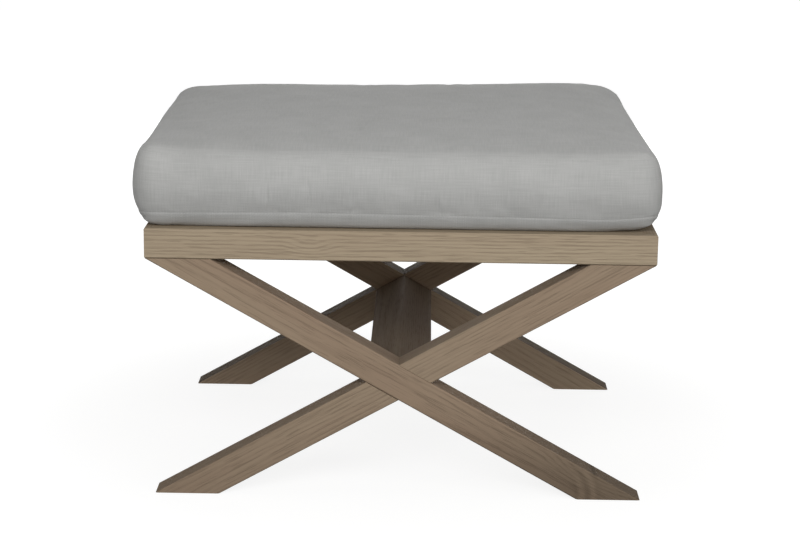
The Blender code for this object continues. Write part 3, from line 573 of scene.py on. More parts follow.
def cushion_shape(looks, levels, rings, pocket):
    """The cushion as a closed mesh: points, quads, the cloth's measures at each corner, and where each point lies.

    A grid makes each panel. Rings join the two by way of the upper seam, the band and the lower seam.
    """
    plan, perimeter = seam_plan(looks)
    place, out, share, travelled = plan[:, :2], plan[:, 2:4], plan[:, 4], plan[:, 5]
    count = len(plan)
    half = np.abs(out[:, 0]) * looks.half_width + np.abs(out[:, 1]) * looks.half_depth
    edge = grid_edge(looks.cells_x, looks.cells_y)
    inner = inward_share(looks)
    distance = inner * min(looks.half_width, looks.half_depth)
    low_place = place + looks.lower_out * ((1 - share)[:, None] * out)
    points, numbers = [], []
    lists = {"panel": [], "seam_distance": [], "level": [], "back": []}

    def add_points(flat, height, *facts, round_it=None):
        """Adds points over a plan, with their panel, distance from the seam, level and share of the back."""
        first = sum(len(part) for part in points)
        points.append(np.column_stack((flat, np.broadcast_to(height, len(flat)))))
        numbers.append(first + (np.arange(count) if round_it is None else round_it))
        for values, value in zip(lists.values(), facts):
            values.append(np.broadcast_to(value, len(flat)))

    def add_grid(seam, height, panel, level):
        flat = fill_grid(seam - GRID_INSET * out, looks.cells_x, looks.cells_y)
        add_points(flat, height, panel, distance, level, 0.0, round_it=edge)

    add_grid(place, UPPER_SEAM + crown_rise(inner, looks), TOP, BAND_HALF)
    for inset in sorted(in_metres(rings), reverse=True):
        height = UPPER_SEAM + crown_rise(inset / half, looks)
        add_points(place - inset * out, height, TOP, inset, BAND_HALF, share)
    rows = [BAND_HALF] + sorted(in_metres(levels), reverse=True)
    rows += [-level for level in sorted(rows) if level > 0]
    for level in rows:
        move = band_out(level, share, place[:, 0], looks, pocket)
        add_points(place + move[:, None] * out, BAND_MIDDLE + level, BAND, BAND_HALF - abs(level), level, share)
    for inset in sorted(in_metres(rings)):
        height = LOWER_SEAM - under_drop(inset, looks)
        add_points(low_place - inset * out, height, BOTTOM, inset, -BAND_HALF, share)
    add_grid(low_place, LOWER_SEAM - under_drop(distance, looks), BOTTOM, -BAND_HALF)

    all_points = np.vstack(points)
    wide = looks.cells_x + 1
    cell = (np.arange(looks.cells_y)[:, None] * wide + np.arange(looks.cells_x)).ravel()
    top_quads = np.column_stack((cell, cell + 1, cell + wide + 1, cell + wide))
    after = np.roll(np.arange(count), -1)
    strips = [np.column_stack((high, low, low[after], high[after])) for high, low in zip(numbers, numbers[1:])]
    quads = np.vstack((top_quads, *strips, top_quads[:, ::-1] + len(all_points) - len(points[0])))
    # The cloth's measures are those of the plan on the panels, and the distance round and the height on the band.
    measures = all_points[quads][:, :, :2]
    first, deep = len(rings) + 1, len(rows) - 1
    band = slice(len(top_quads) + first * count, len(top_quads) + (first + deep) * count)
    end = np.append(travelled[1:], perimeter)
    distance_round = np.tile(np.column_stack((travelled, travelled, end, end)), (deep, 1))
    measures[band] = np.stack((distance_round, all_points[quads[band], 2]), axis=2)
    facts = {name: np.concatenate(values) for name, values in lists.items()}
    return all_points, quads, measures, dict(facts, rings=numbers, rows=rows, grid=len(points[0]))


def neighbours_mean(values, quads):
    """Each point's mean over the points that share an edge with it."""
    total = np.zeros_like(values)
    seen = np.zeros(len(values))
    for a, b in ((0, 1), (1, 2), (2, 3), (3, 0)):
        for one, other in ((quads[:, a], quads[:, b]), (quads[:, b], quads[:, a])):
            np.add.at(total, one, values[other])
            np.add.at(seen, one, 1)
    return total / seen[:, None]


def tighten(points, quads, seams, held, looks):
    """Blender's Cloth swells the cover over its filling while the seams' thread draws in. Returns each point's move."""
    mesh = bpy.data.meshes.new("cover_trial")
    mesh.from_pydata(points.tolist(), [], quads.tolist())
    trial = bpy.data.objects.new("cover_trial", mesh)
    scene = bpy.context.scene
    scene.collection.objects.link(trial)
    for name, members in (("seams", seams), ("held", held)):
        group = trial.vertex_groups.new(name=name)
        group.add(members.tolist(), 1.0, "REPLACE")
    cloth = trial.modifiers.new("cover", "CLOTH")
    settings = cloth.settings
    settings.quality = 6
    settings.mass = 0.15
    settings.tension_stiffness = 20
    settings.compression_stiffness = 20
    settings.shear_stiffness = 6
    settings.bending_stiffness = looks.cloth_bending
    settings.use_pressure = True
    settings.uniform_pressure_force = looks.cloth_pressure
    settings.effector_weights.gravity = 0.0
    settings.vertex_group_mass = "held"
    settings.vertex_group_shrink = "seams"
    settings.shrink_max = looks.seam_gather
    settings.shrink_min = 0.0
    cloth.collision_settings.use_collision = False
    cloth.point_cache.frame_start = 1
    cloth.point_cache.frame_end = looks.cloth_frames
    for number in range(1, looks.cloth_frames + 1):
        scene.frame_set(number)
    settled = trial.evaluated_get(bpy.context.evaluated_depsgraph_get())
    moved = np.empty(len(points) * 3)
    settled.data.vertices.foreach_get("co", moved)
    scene.frame_set(1)
    bpy.data.objects.remove(trial)
    bpy.data.meshes.remove(mesh)
    return moved.reshape(-1, 3) - points


def gathers(looks):
    """The cover's small wrinkles: what the cloth simulation adds to a smooth shape, by ring and grid."""
    points, quads, _, facts = cushion_shape(looks, COARSE_LEVELS, (), pocket=False)
    rings = facts["rings"]
    seams = np.concatenate((rings[1], rings[-2]))
    low = points[:, 2] < CUSHION_BASE + 1e-5
    move = tighten(points, quads, seams, np.flatnonzero(low), looks)
    broad = move.copy()
    for _ in range(looks.broad_passes):
        broad += (neighbours_mean(broad, quads) - broad) * 0.9
    fine = (move - broad) * looks.gather_share
    size = np.linalg.norm(fine, axis=1, keepdims=True)
    return fine / np.sqrt(1 + (size / looks.gather_limit) ** 2), facts


def spread_gathers(fine, coarse, facts):
    """Carries the wrinkles over to the finer shape, whose rows and rings lie between the coarse ones."""
    moves = np.zeros((len(facts["panel"]), 3))
    grid, rows = facts["grid"], facts["rows"]
    moves[:grid] = fine[:grid]
    moves[-grid:] = fine[-grid:]
    coarse_rows = np.array(coarse["rows"])
    coarse_rings = coarse["rings"][1:-1]
    extra = (len(facts["rings"]) - 2 - len(rows)) // 2
    for k, numbers in enumerate(facts["rings"][1:-1]):
        row = k - extra
        if 0 <= row < len(rows):
            after = int(np.clip(np.searchsorted(-coarse_rows, -rows[row]), 1, len(coarse_rows) - 1))
            high, low = coarse_rows[after - 1], coarse_rows[after]
            near, far, part = coarse_rings[after - 1], coarse_rings[after], (high - rows[row]) / (high - low)
        else:
            # Between a seam and the edge of its panel's grid
            end = 0 if row < 0 else -1
            near, far = coarse_rings[end], coarse["rings"][end]
            part = facts["seam_distance"][numbers[0]] / GRID_INSET
        moves[numbers] = (1 - part) * fine[near] + part * fine[far]
    return moves


def uneven_fill(points, calm, looks):
    """The filling isn't quite even: the cushion lies a little to the left, and its top leans that way too."""
    x, y, z = points.T.copy()
    free = 1 - calm
    back = smooth(y, -0.20, 0.24)
    upper = smooth(z, BAND_MIDDLE + 6 * MM, UPPER_SEAM + 8 * MM)
    rising = np.interp(x, (-0.30, -0.20, 0.0, 0.20, 0.27, 0.31), in_metres(looks.back_rise))
    front = np.interp(x, (-0.32, -0.26, 0.0, 0.13, 0.29), in_metres(looks.front_rise))
    narrowed = x * (looks.narrow + back * looks.narrow_back)
    points[:, 0] += free * (looks.shift + x * looks.widen - upper * (narrowed + back * looks.lean))
    lower = smooth(-z, -BAND_MIDDLE + 6 * MM, -LOWER_SEAM)
    points[:, 0] += free * lower * np.interp(x / looks.half_width, (-1, -0.7, 0.7, 1), in_metres(looks.low_spread))
    points[:, 2] += upper * free * (back * rising + (1 - back) * front)
    # The front leans back over the filling, and rolls over its edge.
    over = np.clip((z - BAND_MIDDLE - looks.fullest) / (BAND_HALF - looks.fullest), 0, 1)
    points[:, 1] += smooth(-y, 0.08, 0.25) * (looks.front_lean * over**1.8 + looks.front_roll * over**9)
    # The left side is fuller along its middle, and the corner at the back on the right is slacker.
    swell = bell(y - 0.02, 0.14) * smooth(-x, 0.15, 0.30)
    points[:, 0] -= free * looks.left_swell * swell
    slack = upper * free * np.exp(-((x - 0.31) ** 2 + (y - 0.25) ** 2) / 0.035**2)
    points[:, :2] -= looks.slack_corner * slack[:, None]
    # The lower seam isn't straight: it rides up over the rail, most of all on the left.
    riding = np.interp(z, (CUSHION_BASE, LOWER_SEAM, BAND_MIDDLE - 8 * MM), (0.0, 1.0, 0.0))
    riding *= np.interp(x, (-0.28, -0.125, 0.0, 0.125, 0.26), in_metres(looks.seam_ride))
    points[:, 2] += free * riding * smooth(-y, -0.20, 0.10)
    lifted = smooth(x, 0.245, 0.335) * smooth(-y, 0.16, 0.28) * lower
    points[:, 2] += looks.corner_lift * lifted
    return points


def creases(points, facts):
    """How far the creases and folds that the cover has at the front stand up."""
    x, y, z = points.T
    rise = np.zeros(len(points))
    from_seam, panel = facts["seam_distance"], facts["panel"]
    front = smooth(-y, 0.20, 0.235)
    for place, on_top, on_band, slant, height in CREASES:
        run = np.where(panel == TOP, from_seam / on_top, -from_seam / on_band)
        across = x - place - slant * np.where(run > 0, from_seam, -from_seam)
        part = np.clip(1 - np.abs(run), 0, 1) * (panel < BOTTOM)
        rise += height * front * bell(across, 2.2 * MM) * part
    for place, above, half, slant, depth in SLACK_FOLDS:
        level = (z - LOWER_SEAM - above) / half
        across = x - place - slant * level * half
        part = np.clip(1 - level**2, 0, 1) * (panel == BAND)
        # A ridge, with a shallower hollow to the right of it
        rise += depth * front * (bell(across, 2.6 * MM) - 0.7 * bell(across - 5 * MM, 3 * MM)) * part
    return rise


def cushion_object(looks):
    """The finished cushion, with its seams drawn in and the slot for its zip."""
    points, quads, measures, facts = cushion_shape(looks, FINE_LEVELS, FINE_RINGS, pocket=True)
    panel, away = facts["panel"], facts["seam_distance"]
    # The back is left as the CAD has it round the zip
    calm = facts["back"] * (panel == BAND) * (1 - smooth(np.abs(facts["level"]), 10 * MM, 24 * MM))
    fine, coarse = gathers(looks)
    # The cover is tauter at its back edge, and keeps 30% of the wrinkles there.
    taut = 1 - 0.7 * smooth(points[:, 1], 0.20, 0.26)
    points += spread_gathers(fine, coarse, facts) * ((1 - calm) * taut)[:, None]
    points = uneven_fill(points, calm, looks)
    mesh = bpy.data.meshes.new("linen_cushion")
    mesh.from_pydata(points.tolist(), [], quads.tolist())
    mesh.update()
    normals = np.empty(len(points) * 3)
    mesh.vertex_normals.foreach_get("vector", normals)
    drawn = looks.seam_depth * bell(away, looks.seam_half)
    # The seam allowances are pressed under the top and bottom panels, which stand a step above the band
    lip = np.where(panel == BAND, 0.0, looks.seam_lip * np.exp(-away / (5 * MM)))
    ripples = np.empty(len(points))
    for i, (x, y, z) in enumerate(points):
        # Soft dents, with smaller ones a third as wide and as deep over them
        slow = noise.noise(Vector((x, y, z)) / looks.dent_size)
        quick = noise.noise(Vector((x, y, z * 0.6 + 3)) / (looks.dent_size * 0.33))
        ripples[i] = slow + 0.3 * quick
    # The seams across the band, at the ends of the back strips
    on_back = (panel == BAND) & (facts["back"] > 0.999)
    from_end = np.abs(np.abs(points[:, 0]) - looks.strip_half)
    drawn += np.where(on_back, looks.seam_depth * 2 * bell(from_end, looks.seam_half), 0.0)
    dents = looks.dent_depth * ripples * smooth(away, 0.0, 20 * MM) * (1 - calm)
    # The top's back edge is drawn straight over the filling.
    dents *= 1 - 0.7 * smooth(points[:, 1], 0.17, 0.25) * (panel == TOP)
    dents += creases(points, facts)
    dents[(panel == BOTTOM) & (points[:, 2] < CUSHION_BASE + 1 * MM)] = 0.0
    points += normals.reshape(-1, 3) * (lip - drawn + dents)[:, None]
    points[:, 2] = np.maximum(points[:, 2], CUSHION_BASE)
    mesh.vertices.foreach_set("co", points.ravel())
    cloth = mesh.uv_layers.new(name="cloth")
    cloth.uv.foreach_set("vector", measures.reshape(-1).astype(np.float32))
    mesh.update()
    mesh.validate()
    mesh.shade_smooth()
    piece = bpy.data.objects.new("linen_cushion", mesh)
    bpy.context.scene.collection.objects.link(piece)
    return piece


# Zip, stitches and screws


def solid(name, skinned, look, place=None):
    """A piece made of points and faces, smooth but for its sharp edges."""
    points, faces = skinned
    made = bmesh.new()
    corners = [made.verts.new(p) for p in points]
    for face in faces:
        made.faces.new([corners[i] for i in face])
    bmesh.ops.remove_doubles(made, verts=made.verts, dist=1e-7)
    bmesh.ops.recalc_face_normals(made, faces=made.faces)
    mesh = bpy.data.meshes.new(name)
    made.to_mesh(mesh)
    made.free()
    mesh.shade_smooth()
    mesh.set_sharp_from_angle(angle=math.radians(40))
    mesh.materials.append(look)
    piece = bpy.data.objects.new(name, mesh)
    if place is not None:
        piece.matrix_world = place
    bpy.context.scene.collection.objects.link(piece)
    return piece


def skin(rings, first=0):
    """Points and faces of a closed skin over rings of points, with a face across each end."""
    wide = len(rings[0])
    points = [point for ring in rings for point in ring]
    faces = []
    for k in range(len(rings) - 1):
        a = first + k * wide
        faces += [(a + i, a + (i + 1) % wide, a + wide + (i + 1) % wide, a + wide + i) for i in range(wide)]
    last = first + len(points) - wide
    faces += [tuple(range(first, first + wide)), tuple(range(last, last + wide))]
    return points, faces


def rounded_oblong(half_wide, half_high, radius, steps=3):
    """Points round an oblong with rounded corners."""
    outline = []
    for number, (sx, sy) in enumerate(((1, 1), (-1, 1), (-1, -1), (1, -1))):
        for step in range(steps + 1):
            angle = math.pi / 2 * (number + step / steps)
            across = sx * (half_wide - radius) + radius * math.cos(angle)
            outline.append((across, sy * (half_high - radius) + radius * math.sin(angle)))
    return outline


def directions(path):
    """Unit vectors along a path of points."""
    along = np.gradient(path, axis=0)
    return along / np.linalg.norm(along, axis=1)[:, None]


def tape_piece(name, look):
    """A zip tape: a flat ribbon with a raised cord along its inner edge, lying a little wavy."""
    low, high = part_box(name)
    middle, half = (low.z + high.z) / 2, (high.z - low.z) / 2
    inner_below = abs(low.z - BAND_MIDDLE) < abs(high.z - BAND_MIDDLE)
    cord = (1 if inner_below else -1) * (-half + 0.9 * MM)
    # Points over the face between its rounded edges: place from the cord's middle and height, in mm
    bead = [(cord + d * MM, rise * MM) for d, rise in ((0.5, 0.26), (0.2, 0.30), (-0.2, 0.30), (-0.5, 0.26))]
    outline = rounded_oblong(half, 0.26 * MM, 0.2 * MM)
    outline[4:4] = bead
    rings = []
    for x in np.linspace(low.x, high.x, 241):
        wave = 0.07 * MM * math.sin(x * 61) + 0.04 * MM * math.sin(x * 173 + middle * 900)
        rings.append([(x, TAPE_Y + out + wave, middle + across) for across, out in outline])
    return solid(name.replace("zip_tape", "woven_tape"), skin(rings), look)


def coil_piece(name, look, looks):
    """A row of teeth: one nylon filament, wound into flattened loops along the tape's edge."""
    low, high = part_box(name)
    above = low.z > BAND_MIDDLE
    sign, began = (1, 0.0) if above else (-1, 0.5)
    wire = looks.coil_wire / 2
    near, far = 0.45 * MM + wire, abs((high if above else low).z - BAND_MIDDLE) + 0.2 * MM - wire
    deep = (high.y - low.y) / 2 - 0.15 * MM - wire
    turns = int((high.x - low.x - 2 * wire) / looks.coil_pitch)
    steps = 8
    path = []
    for k in range(turns * steps + 1):
        angle = 2 * math.pi * (k / steps + began)
        height = BAND_MIDDLE + sign * ((near + far) / 2 - (far - near) / 2 * math.cos(angle))
        path.append((low.x + wire + looks.coil_pitch * k / steps, TAPE_Y + deep * math.sin(angle), height))
    path = np.array(path)
    along = directions(path)
    side = np.cross(along, (1.0, 0.0, 0.0))
    side /= np.linalg.norm(side, axis=1)[:, None]
    other = np.cross(along, side)
    round_wire = [(math.cos(a), math.sin(a)) for a in np.linspace(0, 2 * math.pi, 7)[:-1]]
    rings = [[tuple(p + wire * (c * s + d * o)) for c, d in round_wire] for p, s, o in zip(path, side, other)]
    return solid(name.replace("zip_teeth", "nylon_coil"), skin(rings), look)


def stop_piece(name, look):
    """A zip stop: a small clip with rounded edges, crimped across its middle."""
    low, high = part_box(name)
    middle, half = (low + high) / 2, (high - low) / 2
    # From one end to the middle: place and thickness, each as a share, and how much the edges are drawn in, in mm
    end = ((-1.0, 0.72, 0.3), (-0.92, 0.88, 0.12), (-0.75, 0.98, 0.02), (-0.4, 1.0, 0.0), (-0.24, 0.84, 0.0))
    rings = []
    for at, thick, drawn in (*end, *((-at, thick, drawn) for at, thick, drawn in end[::-1])):
        outline = rounded_oblong(half.z - drawn * MM, half.y * thick, 0.45 * MM)
        rings.append([(middle.x + at * half.x, middle.y + out, middle.z + up) for up, out in outline])
    return solid(name.replace("zip_stop", "crimped_stop"), skin(rings), look)


def slider_piece(look):
    """The slider: two shouldered plates with flanges round the coils, a web between them, and an arched bridge."""
    low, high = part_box("zip_slider")
    middle = Vector(((low.x + high.x) / 2, TAPE_Y, BAND_MIDDLE))
    half = (high.x - low.x) / 2
    # Half the room between the plates, half the web, the flanges' inner faces and half the gap for the tape
    room, web, inner, slot = 1.3 * MM, 0.35 * MM, 3.25 * MM, 0.75 * MM
    # Place along the slider, half width and height of its plates, all in mm
    stations = (
        (-5.5, 3.75, 1.75), (-5.35, 3.92, 2.02), (-5.0, 4.02, 2.22), (-4.4, 4.05, 2.3), (-2.0, 3.95, 2.3),
        (0.0, 3.98, 2.3), (2.0, 4.12, 2.3), (3.6, 4.28, 2.3), (4.6, 4.3, 2.3), (5.1, 4.2, 2.22),
        (5.38, 4.02, 2.02), (5.5, 3.8, 1.75),
    )
    end = stations[-1][0]
    rings = []
    for at, wide, top in stations:
        wide, top = wide * MM, top * MM
        rim = min(0.45 * MM, wide - inner - 0.05 * MM)
        # A shallow dish in the face of each plate, that stops short of its ends
        dish = top - 0.12 * MM * (abs(at) < 4.7)
        quarter = [
            (web, room), (inner - 0.3 * MM, room), (inner, room - 0.2 * MM), (inner, slot),
            (wide - 0.12 * MM, slot), (wide, slot + 0.12 * MM), (wide, top - rim),
            (wide - 0.13 * rim, top - 0.5 * rim), (wide - 0.5 * rim, top - 0.13 * rim), (wide - rim, top),
            (2.2 * MM, top), (2.0 * MM, dish), (1.2 * MM, dish),
        ]
        right = [(z, -y) for z, y in reversed(quarter)] + quarter
        outline = right + [(-z, -y) for z, y in right]
        rings.append([(middle.x + at * half / end, middle.y + y, middle.z + z) for z, y in outline])
    points, faces = skin(rings)
    # Bridge: a strap along a path of (along, up, half its thickness), in mm
    arch = [(4.05, 2.0, 0.5), (4.05, 3.3, 0.5), (3.95, 4.0, 0.48), (3.6, 4.6, 0.43), (3.0, 4.86, 0.4), (1.5, 4.9, 0.4)]
    arch = [(-x, y, t) for x, y, t in arch] + [(0.0, 4.9, 0.4)] + arch[::-1]
    path = np.array([(x, y) for x, y, _ in arch]) * MM
    rings = []
    for (x, y), (ax, ay), (_, _, thick) in zip(path, directions(path), arch):
        outline = rounded_oblong(0.8 * MM, thick * MM, 0.28 * MM)
        rings.append([(middle.x + x - ay * t, middle.y + y + ax * t, middle.z + z) for z, t in outline])
    more, others = skin(rings, len(points))
    return solid("shouldered_slider", (points + more, faces + others), look)


def pull_piece(look):
    """The pull: a flat tag with a round end, a slot that lets it turn on the bridge, and a sunk panel."""
    low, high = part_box("zip_pull")
    half, thick, middle_y = (high.z - low.z) / 2, (high.y - low.y) / 2, (low.y + high.y) / 2
    # Along the pull, from the axis in the middle of its bar: the bar's half, the slot's far end, the round's centre
    bar, slot_end, slot_half = 0.55 * MM, -5.2 * MM, 1.4 * MM
    axis_x = high.x - bar
    centre = low.x + half - axis_x
    # Radii of the bar's corners in plan and of all edges, and points over such an edge, as distances in from it
    ease, edge_radius = 0.7 * MM, 0.3 * MM
    insets = np.array((0.0, 0.04, 0.1, 0.18, 0.3)) * MM
    stops = [bar - e for e in insets] + [-bar + e for e in insets[::-1]] + [-2.2 * MM, -3.8 * MM]
    stops += [slot_end + e for e in insets[:0:-1]] + [slot_end - e for e in insets]
    stops += [slot_end - e * MM for e in (0.5, 0.7, 0.85, 1.0, 1.15, 1.3, 1.45)]
    stops += list(np.linspace(slot_end - 3 * MM, centre, 8))
    from_side = [*insets, *in_metres((0.55, 0.75, 0.85, 0.95, 1.05, 1.12))]
    columns = [half - s for s in from_side] + [slot_half + s for s in insets] + [slot_half * 0.5]
    columns = sorted({round(c, 8) for c in columns}, reverse=True)
    columns += [0.0] + [-c for c in columns[::-1]]

    def drop(distance, radius):
        """How far a round edge lies below its face at a distance in from its end."""
        return 0.0 if distance > radius else radius - math.sqrt(radius**2 - (radius - distance) ** 2)

    def height(x, z):
        side = half - math.hypot(min(x - centre, 0.0), z)
        in_slot = slot_end <= x <= -bar
        to_slot = abs(z) - slot_half if in_slot else max(x + bar, slot_end - x)
        if not in_slot and abs(z) > slot_half:
            to_slot = math.hypot(to_slot, abs(z) - slot_half)
        edge = max(min(side - drop(bar - x, ease), bar - x, to_slot), 0.0)
        panel = min(side, slot_end - x - 0.1 * MM)
        return thick - drop(edge, edge_radius) - 0.18 * MM * float(smooth(panel, 0.75 * MM, 1.05 * MM))

    rows = [[(x, z * (1 - drop(bar - x, ease) / half)) for z in columns] for x in stops]
    for angle in np.linspace(0, math.pi / 2, 15)[1:]:
        rows.append([(centre - abs(z) * math.sin(angle), z * math.cos(angle)) for z in columns])
    points = [(x, height(x, z), z) for row in rows for x, z in row]
    wide, total = len(columns), len(points)
    cells = []
    for i in range(len(rows) - 1):
        for j in range(wide - 1):
            x = (rows[i][j][0] + rows[i + 1][j][0]) / 2
            if not (slot_end < x < -bar and abs(columns[j] + columns[j + 1]) / 2 < slot_half):
                cells.append((i * wide + j, i * wide + j + 1, (i + 1) * wide + j + 1, (i + 1) * wide + j))
    uses = {}
    for cell in cells:
        for pair in zip(cell, cell[1:] + cell[:1]):
            pair = tuple(sorted(pair))
            uses[pair] = uses.get(pair, 0) + 1
    # The last row lies on itself, from both sides, so that it needs no wall.
    walls = [(a, b, b + total, a + total) for (a, b), n in uses.items() if n == 1 and a < total - wide]
    under = [tuple(i + total for i in cell[::-1]) for cell in cells]
    used = sorted({i for face in cells + walls + under for i in face})
    number = {old: new for new, old in enumerate(used)}
    both = points + [(x, -y, z) for x, y, z in points]
    placed = [(axis_x + both[i][0], middle_y + both[i][1], BAND_MIDDLE + both[i][2]) for i in used]
    faces = [tuple(number[i] for i in face) for face in cells + walls + under]
    return solid("tumbled_pull", (placed, faces), look)


def stitch_rows(looks):
    """Places of the topstitches beside the slot and of the bars across its ends: x, height, slant and length."""
    level = looks.stitch_level
    # The rows run 5 mm past the slot. A stitch covers 82% of its step, and the cloth between two shows.
    reach = looks.pocket_half + 5 * MM
    count = int(2 * reach / looks.stitch_pitch)
    step = 2 * reach / count
    rows = [(-reach + (k + 0.5) * step, sign * level, 0.0, step * 0.82) for sign in (1, -1) for k in range(count)]
    # The close zigzag of a bar tack runs from one row to the other across each of the slot's closed ends.
    threads = int(2 * level / (looks.stitch_thread * 0.95))
    for end in (-1, 1):
        for k in range(threads + 1):
            rows.append((end * reach, -level + k * 2 * level / threads, 0.1 * (-1) ** k, 2.2 * MM))
    return rows


def stitches_piece(look, looks, cushion):
    """Topstitching: each stitch a short length of thread whose ends dip into the cloth."""
    thick = looks.stitch_thread / 2
    # Along the stitch as a share of its length, its thickness as a share, and how far it stands off the cloth
    end = ((-0.5, 0.5, -1.2), (-0.44, 0.8, -0.6), (-0.25, 1.0, 0.1))
    form = (*end, *((-share, round_share, lift) for share, round_share, lift in end[::-1]))
    angles = [math.pi / 3 * number for number in range(6)]
    points, faces = [], []
    for x, height, slant, length in stitch_rows(looks):
        hit, middle, out, _ = cushion.ray_cast(Vector((x, 0.4, BAND_MIDDLE + height)), Vector((0, -1, 0)))
        if not hit:
            raise RuntimeError(f"no cloth under the stitch at x {x:.3f}")
        along = Vector((math.cos(slant), 0, math.sin(slant)))
        along = (along - out * along.dot(out)).normalized()
        side = along.cross(out)
        rings = []
        for share, round_share, lift in form:
            centre = middle + along * (share * length) + out * (lift * thick)
            rings.append([centre + (out * math.cos(a) + side * math.sin(a)) * (thick * round_share) for a in angles])
        more, others = skin(rings, len(points))
        points += more
        faces += others
    return solid("zip_topstitching", (points, faces), look)


def screw_rings(length, radius, shank, looks):
    """Rings of a countersunk screw, from the bottom of its cross recess to its tip."""
    # Recess: half the width of its arms and their reach, and the angles of its points over a quarter turn
    arm, wing = 0.45 * MM, 1.95 * MM
    corner = math.degrees(math.asin(arm / wing))
    quarter = (0.0, corner / 2, corner, 20.0, 31.0, 45.0, 59.0, 70.0, 90 - corner, 90 - corner / 2)
    turns = np.radians([90 * q + t for q in range(4) for t in quarter])
    from_arm = np.abs((turns + math.pi / 4) % (math.pi / 2) - math.pi / 4)
    cross = np.minimum(wing, arm / np.maximum(np.sin(from_arm), 1e-6))
    rings = []

    def add(radii, height):
        radii = np.broadcast_to(radii, turns.shape)
        rings.append([(r * math.cos(t), r * math.sin(t), height) for r, t in zip(radii, turns)])

    # The recess as shares of its outline, then the head's rim as distances in from it, each with its depth in mm
    for share, deep in ((0.1, -1.75), (0.42, -1.6), (0.7, -1.0), (0.93, -0.15), (1.0, 0.0)):
        add(cross * share, deep * MM)
    for inset, deep in ((0.3, 0.0), (0.06, -0.05), (0.0, -0.15), (0.0, -0.3)):
        add(radius - inset * MM, deep * MM)
    # The head's cone ends 2.4 mm down, and the shank is smooth over the first 38% of the length.
    smooth_end = -length * 0.38
    add(shank, -2.4 * MM)
    add(shank, smooth_end + 0.2 * MM)
    # Thread: its core's radius, nine rings to a turn, and a point over the last 4 mm
    pitch, core = looks.screw_pitch, shank * 0.72
    steps = int((smooth_end + length) / (pitch / 9))
    for step in range(steps + 1):
        z = smooth_end + (-length - smooth_end) * step / steps
        tip = min(1.0, (z + length) / (4 * MM)) ** 0.8
        turn = (z / pitch - turns / (2 * math.pi)) % 1.0
        ridge = np.maximum(0.0, 1 - np.abs(turn - 0.5) / 0.2) * min(1.0, step / 6)
        add(np.maximum((core + (shank - core) * ridge) * tip, 0.03 * MM), z)
    return rings


def screw_place(node):
    """Where a screw's head is, which way it faces, its length and its head's radius, from its CAD solid.

    The deck's screws are driven from above, and those of the blocks from the middle of the frame.
    """
    low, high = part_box(node)
    size = high - low
    axis = max(range(3), key=lambda i: size[i])
    head_is_low = axis != 2 and abs(low[axis]) < abs(high[axis])
    head = (low + high) / 2
    head[axis] = low[axis] if head_is_low else high[axis]
    outward = Vector((0, 0, 0))
    outward[axis] = -1 if head_is_low else 1
    return head, outward, size[axis], min(size) / 2


# What a user would change


def tint(name, shown, default):
    return bpy.props.StringProperty(name=name, description=f"sRGB hex colour of {shown}", default=default)


def plain(name, description, default, **limits):
    return bpy.props.FloatProperty(name=name, description=description, default=default, **limits)


def whole(name, description, default):
    return bpy.props.IntProperty(name=name, description=description, default=default)


def profile(name, description, *default):
    """Heights or distances at places from left to right, in mm."""
    return bpy.props.FloatVectorProperty(name=name, description=description, size=len(default), default=default)


metres = partial(plain, unit="LENGTH")
watts = partial(plain, unit="POWER")


class OttomanWood(bpy.types.PropertyGroup):
    """Colours and grain of the oak and the plywood."""

    oak_pale: tint("Pale oak", "the palest oak", "#b3a48c")
    oak_warm: tint("Warm oak", "the warmer patches", "#9c8773")
    oak_dark: tint("Early wood", "the lines of early wood", "#7d6c5b")
    oak_pore: tint("Pores", "the open pores", "#5c4f42")
    ply_pale: tint("Pale ply", "the birch veneer", "#cdb18a")
    ply_brown: tint("Brown ply", "its figure and end grain", "#a07d54")
    ring: plain("Ring width", "Width of a year's growth in the oak, in mm", 3.4, min=1.0, max=8.0)


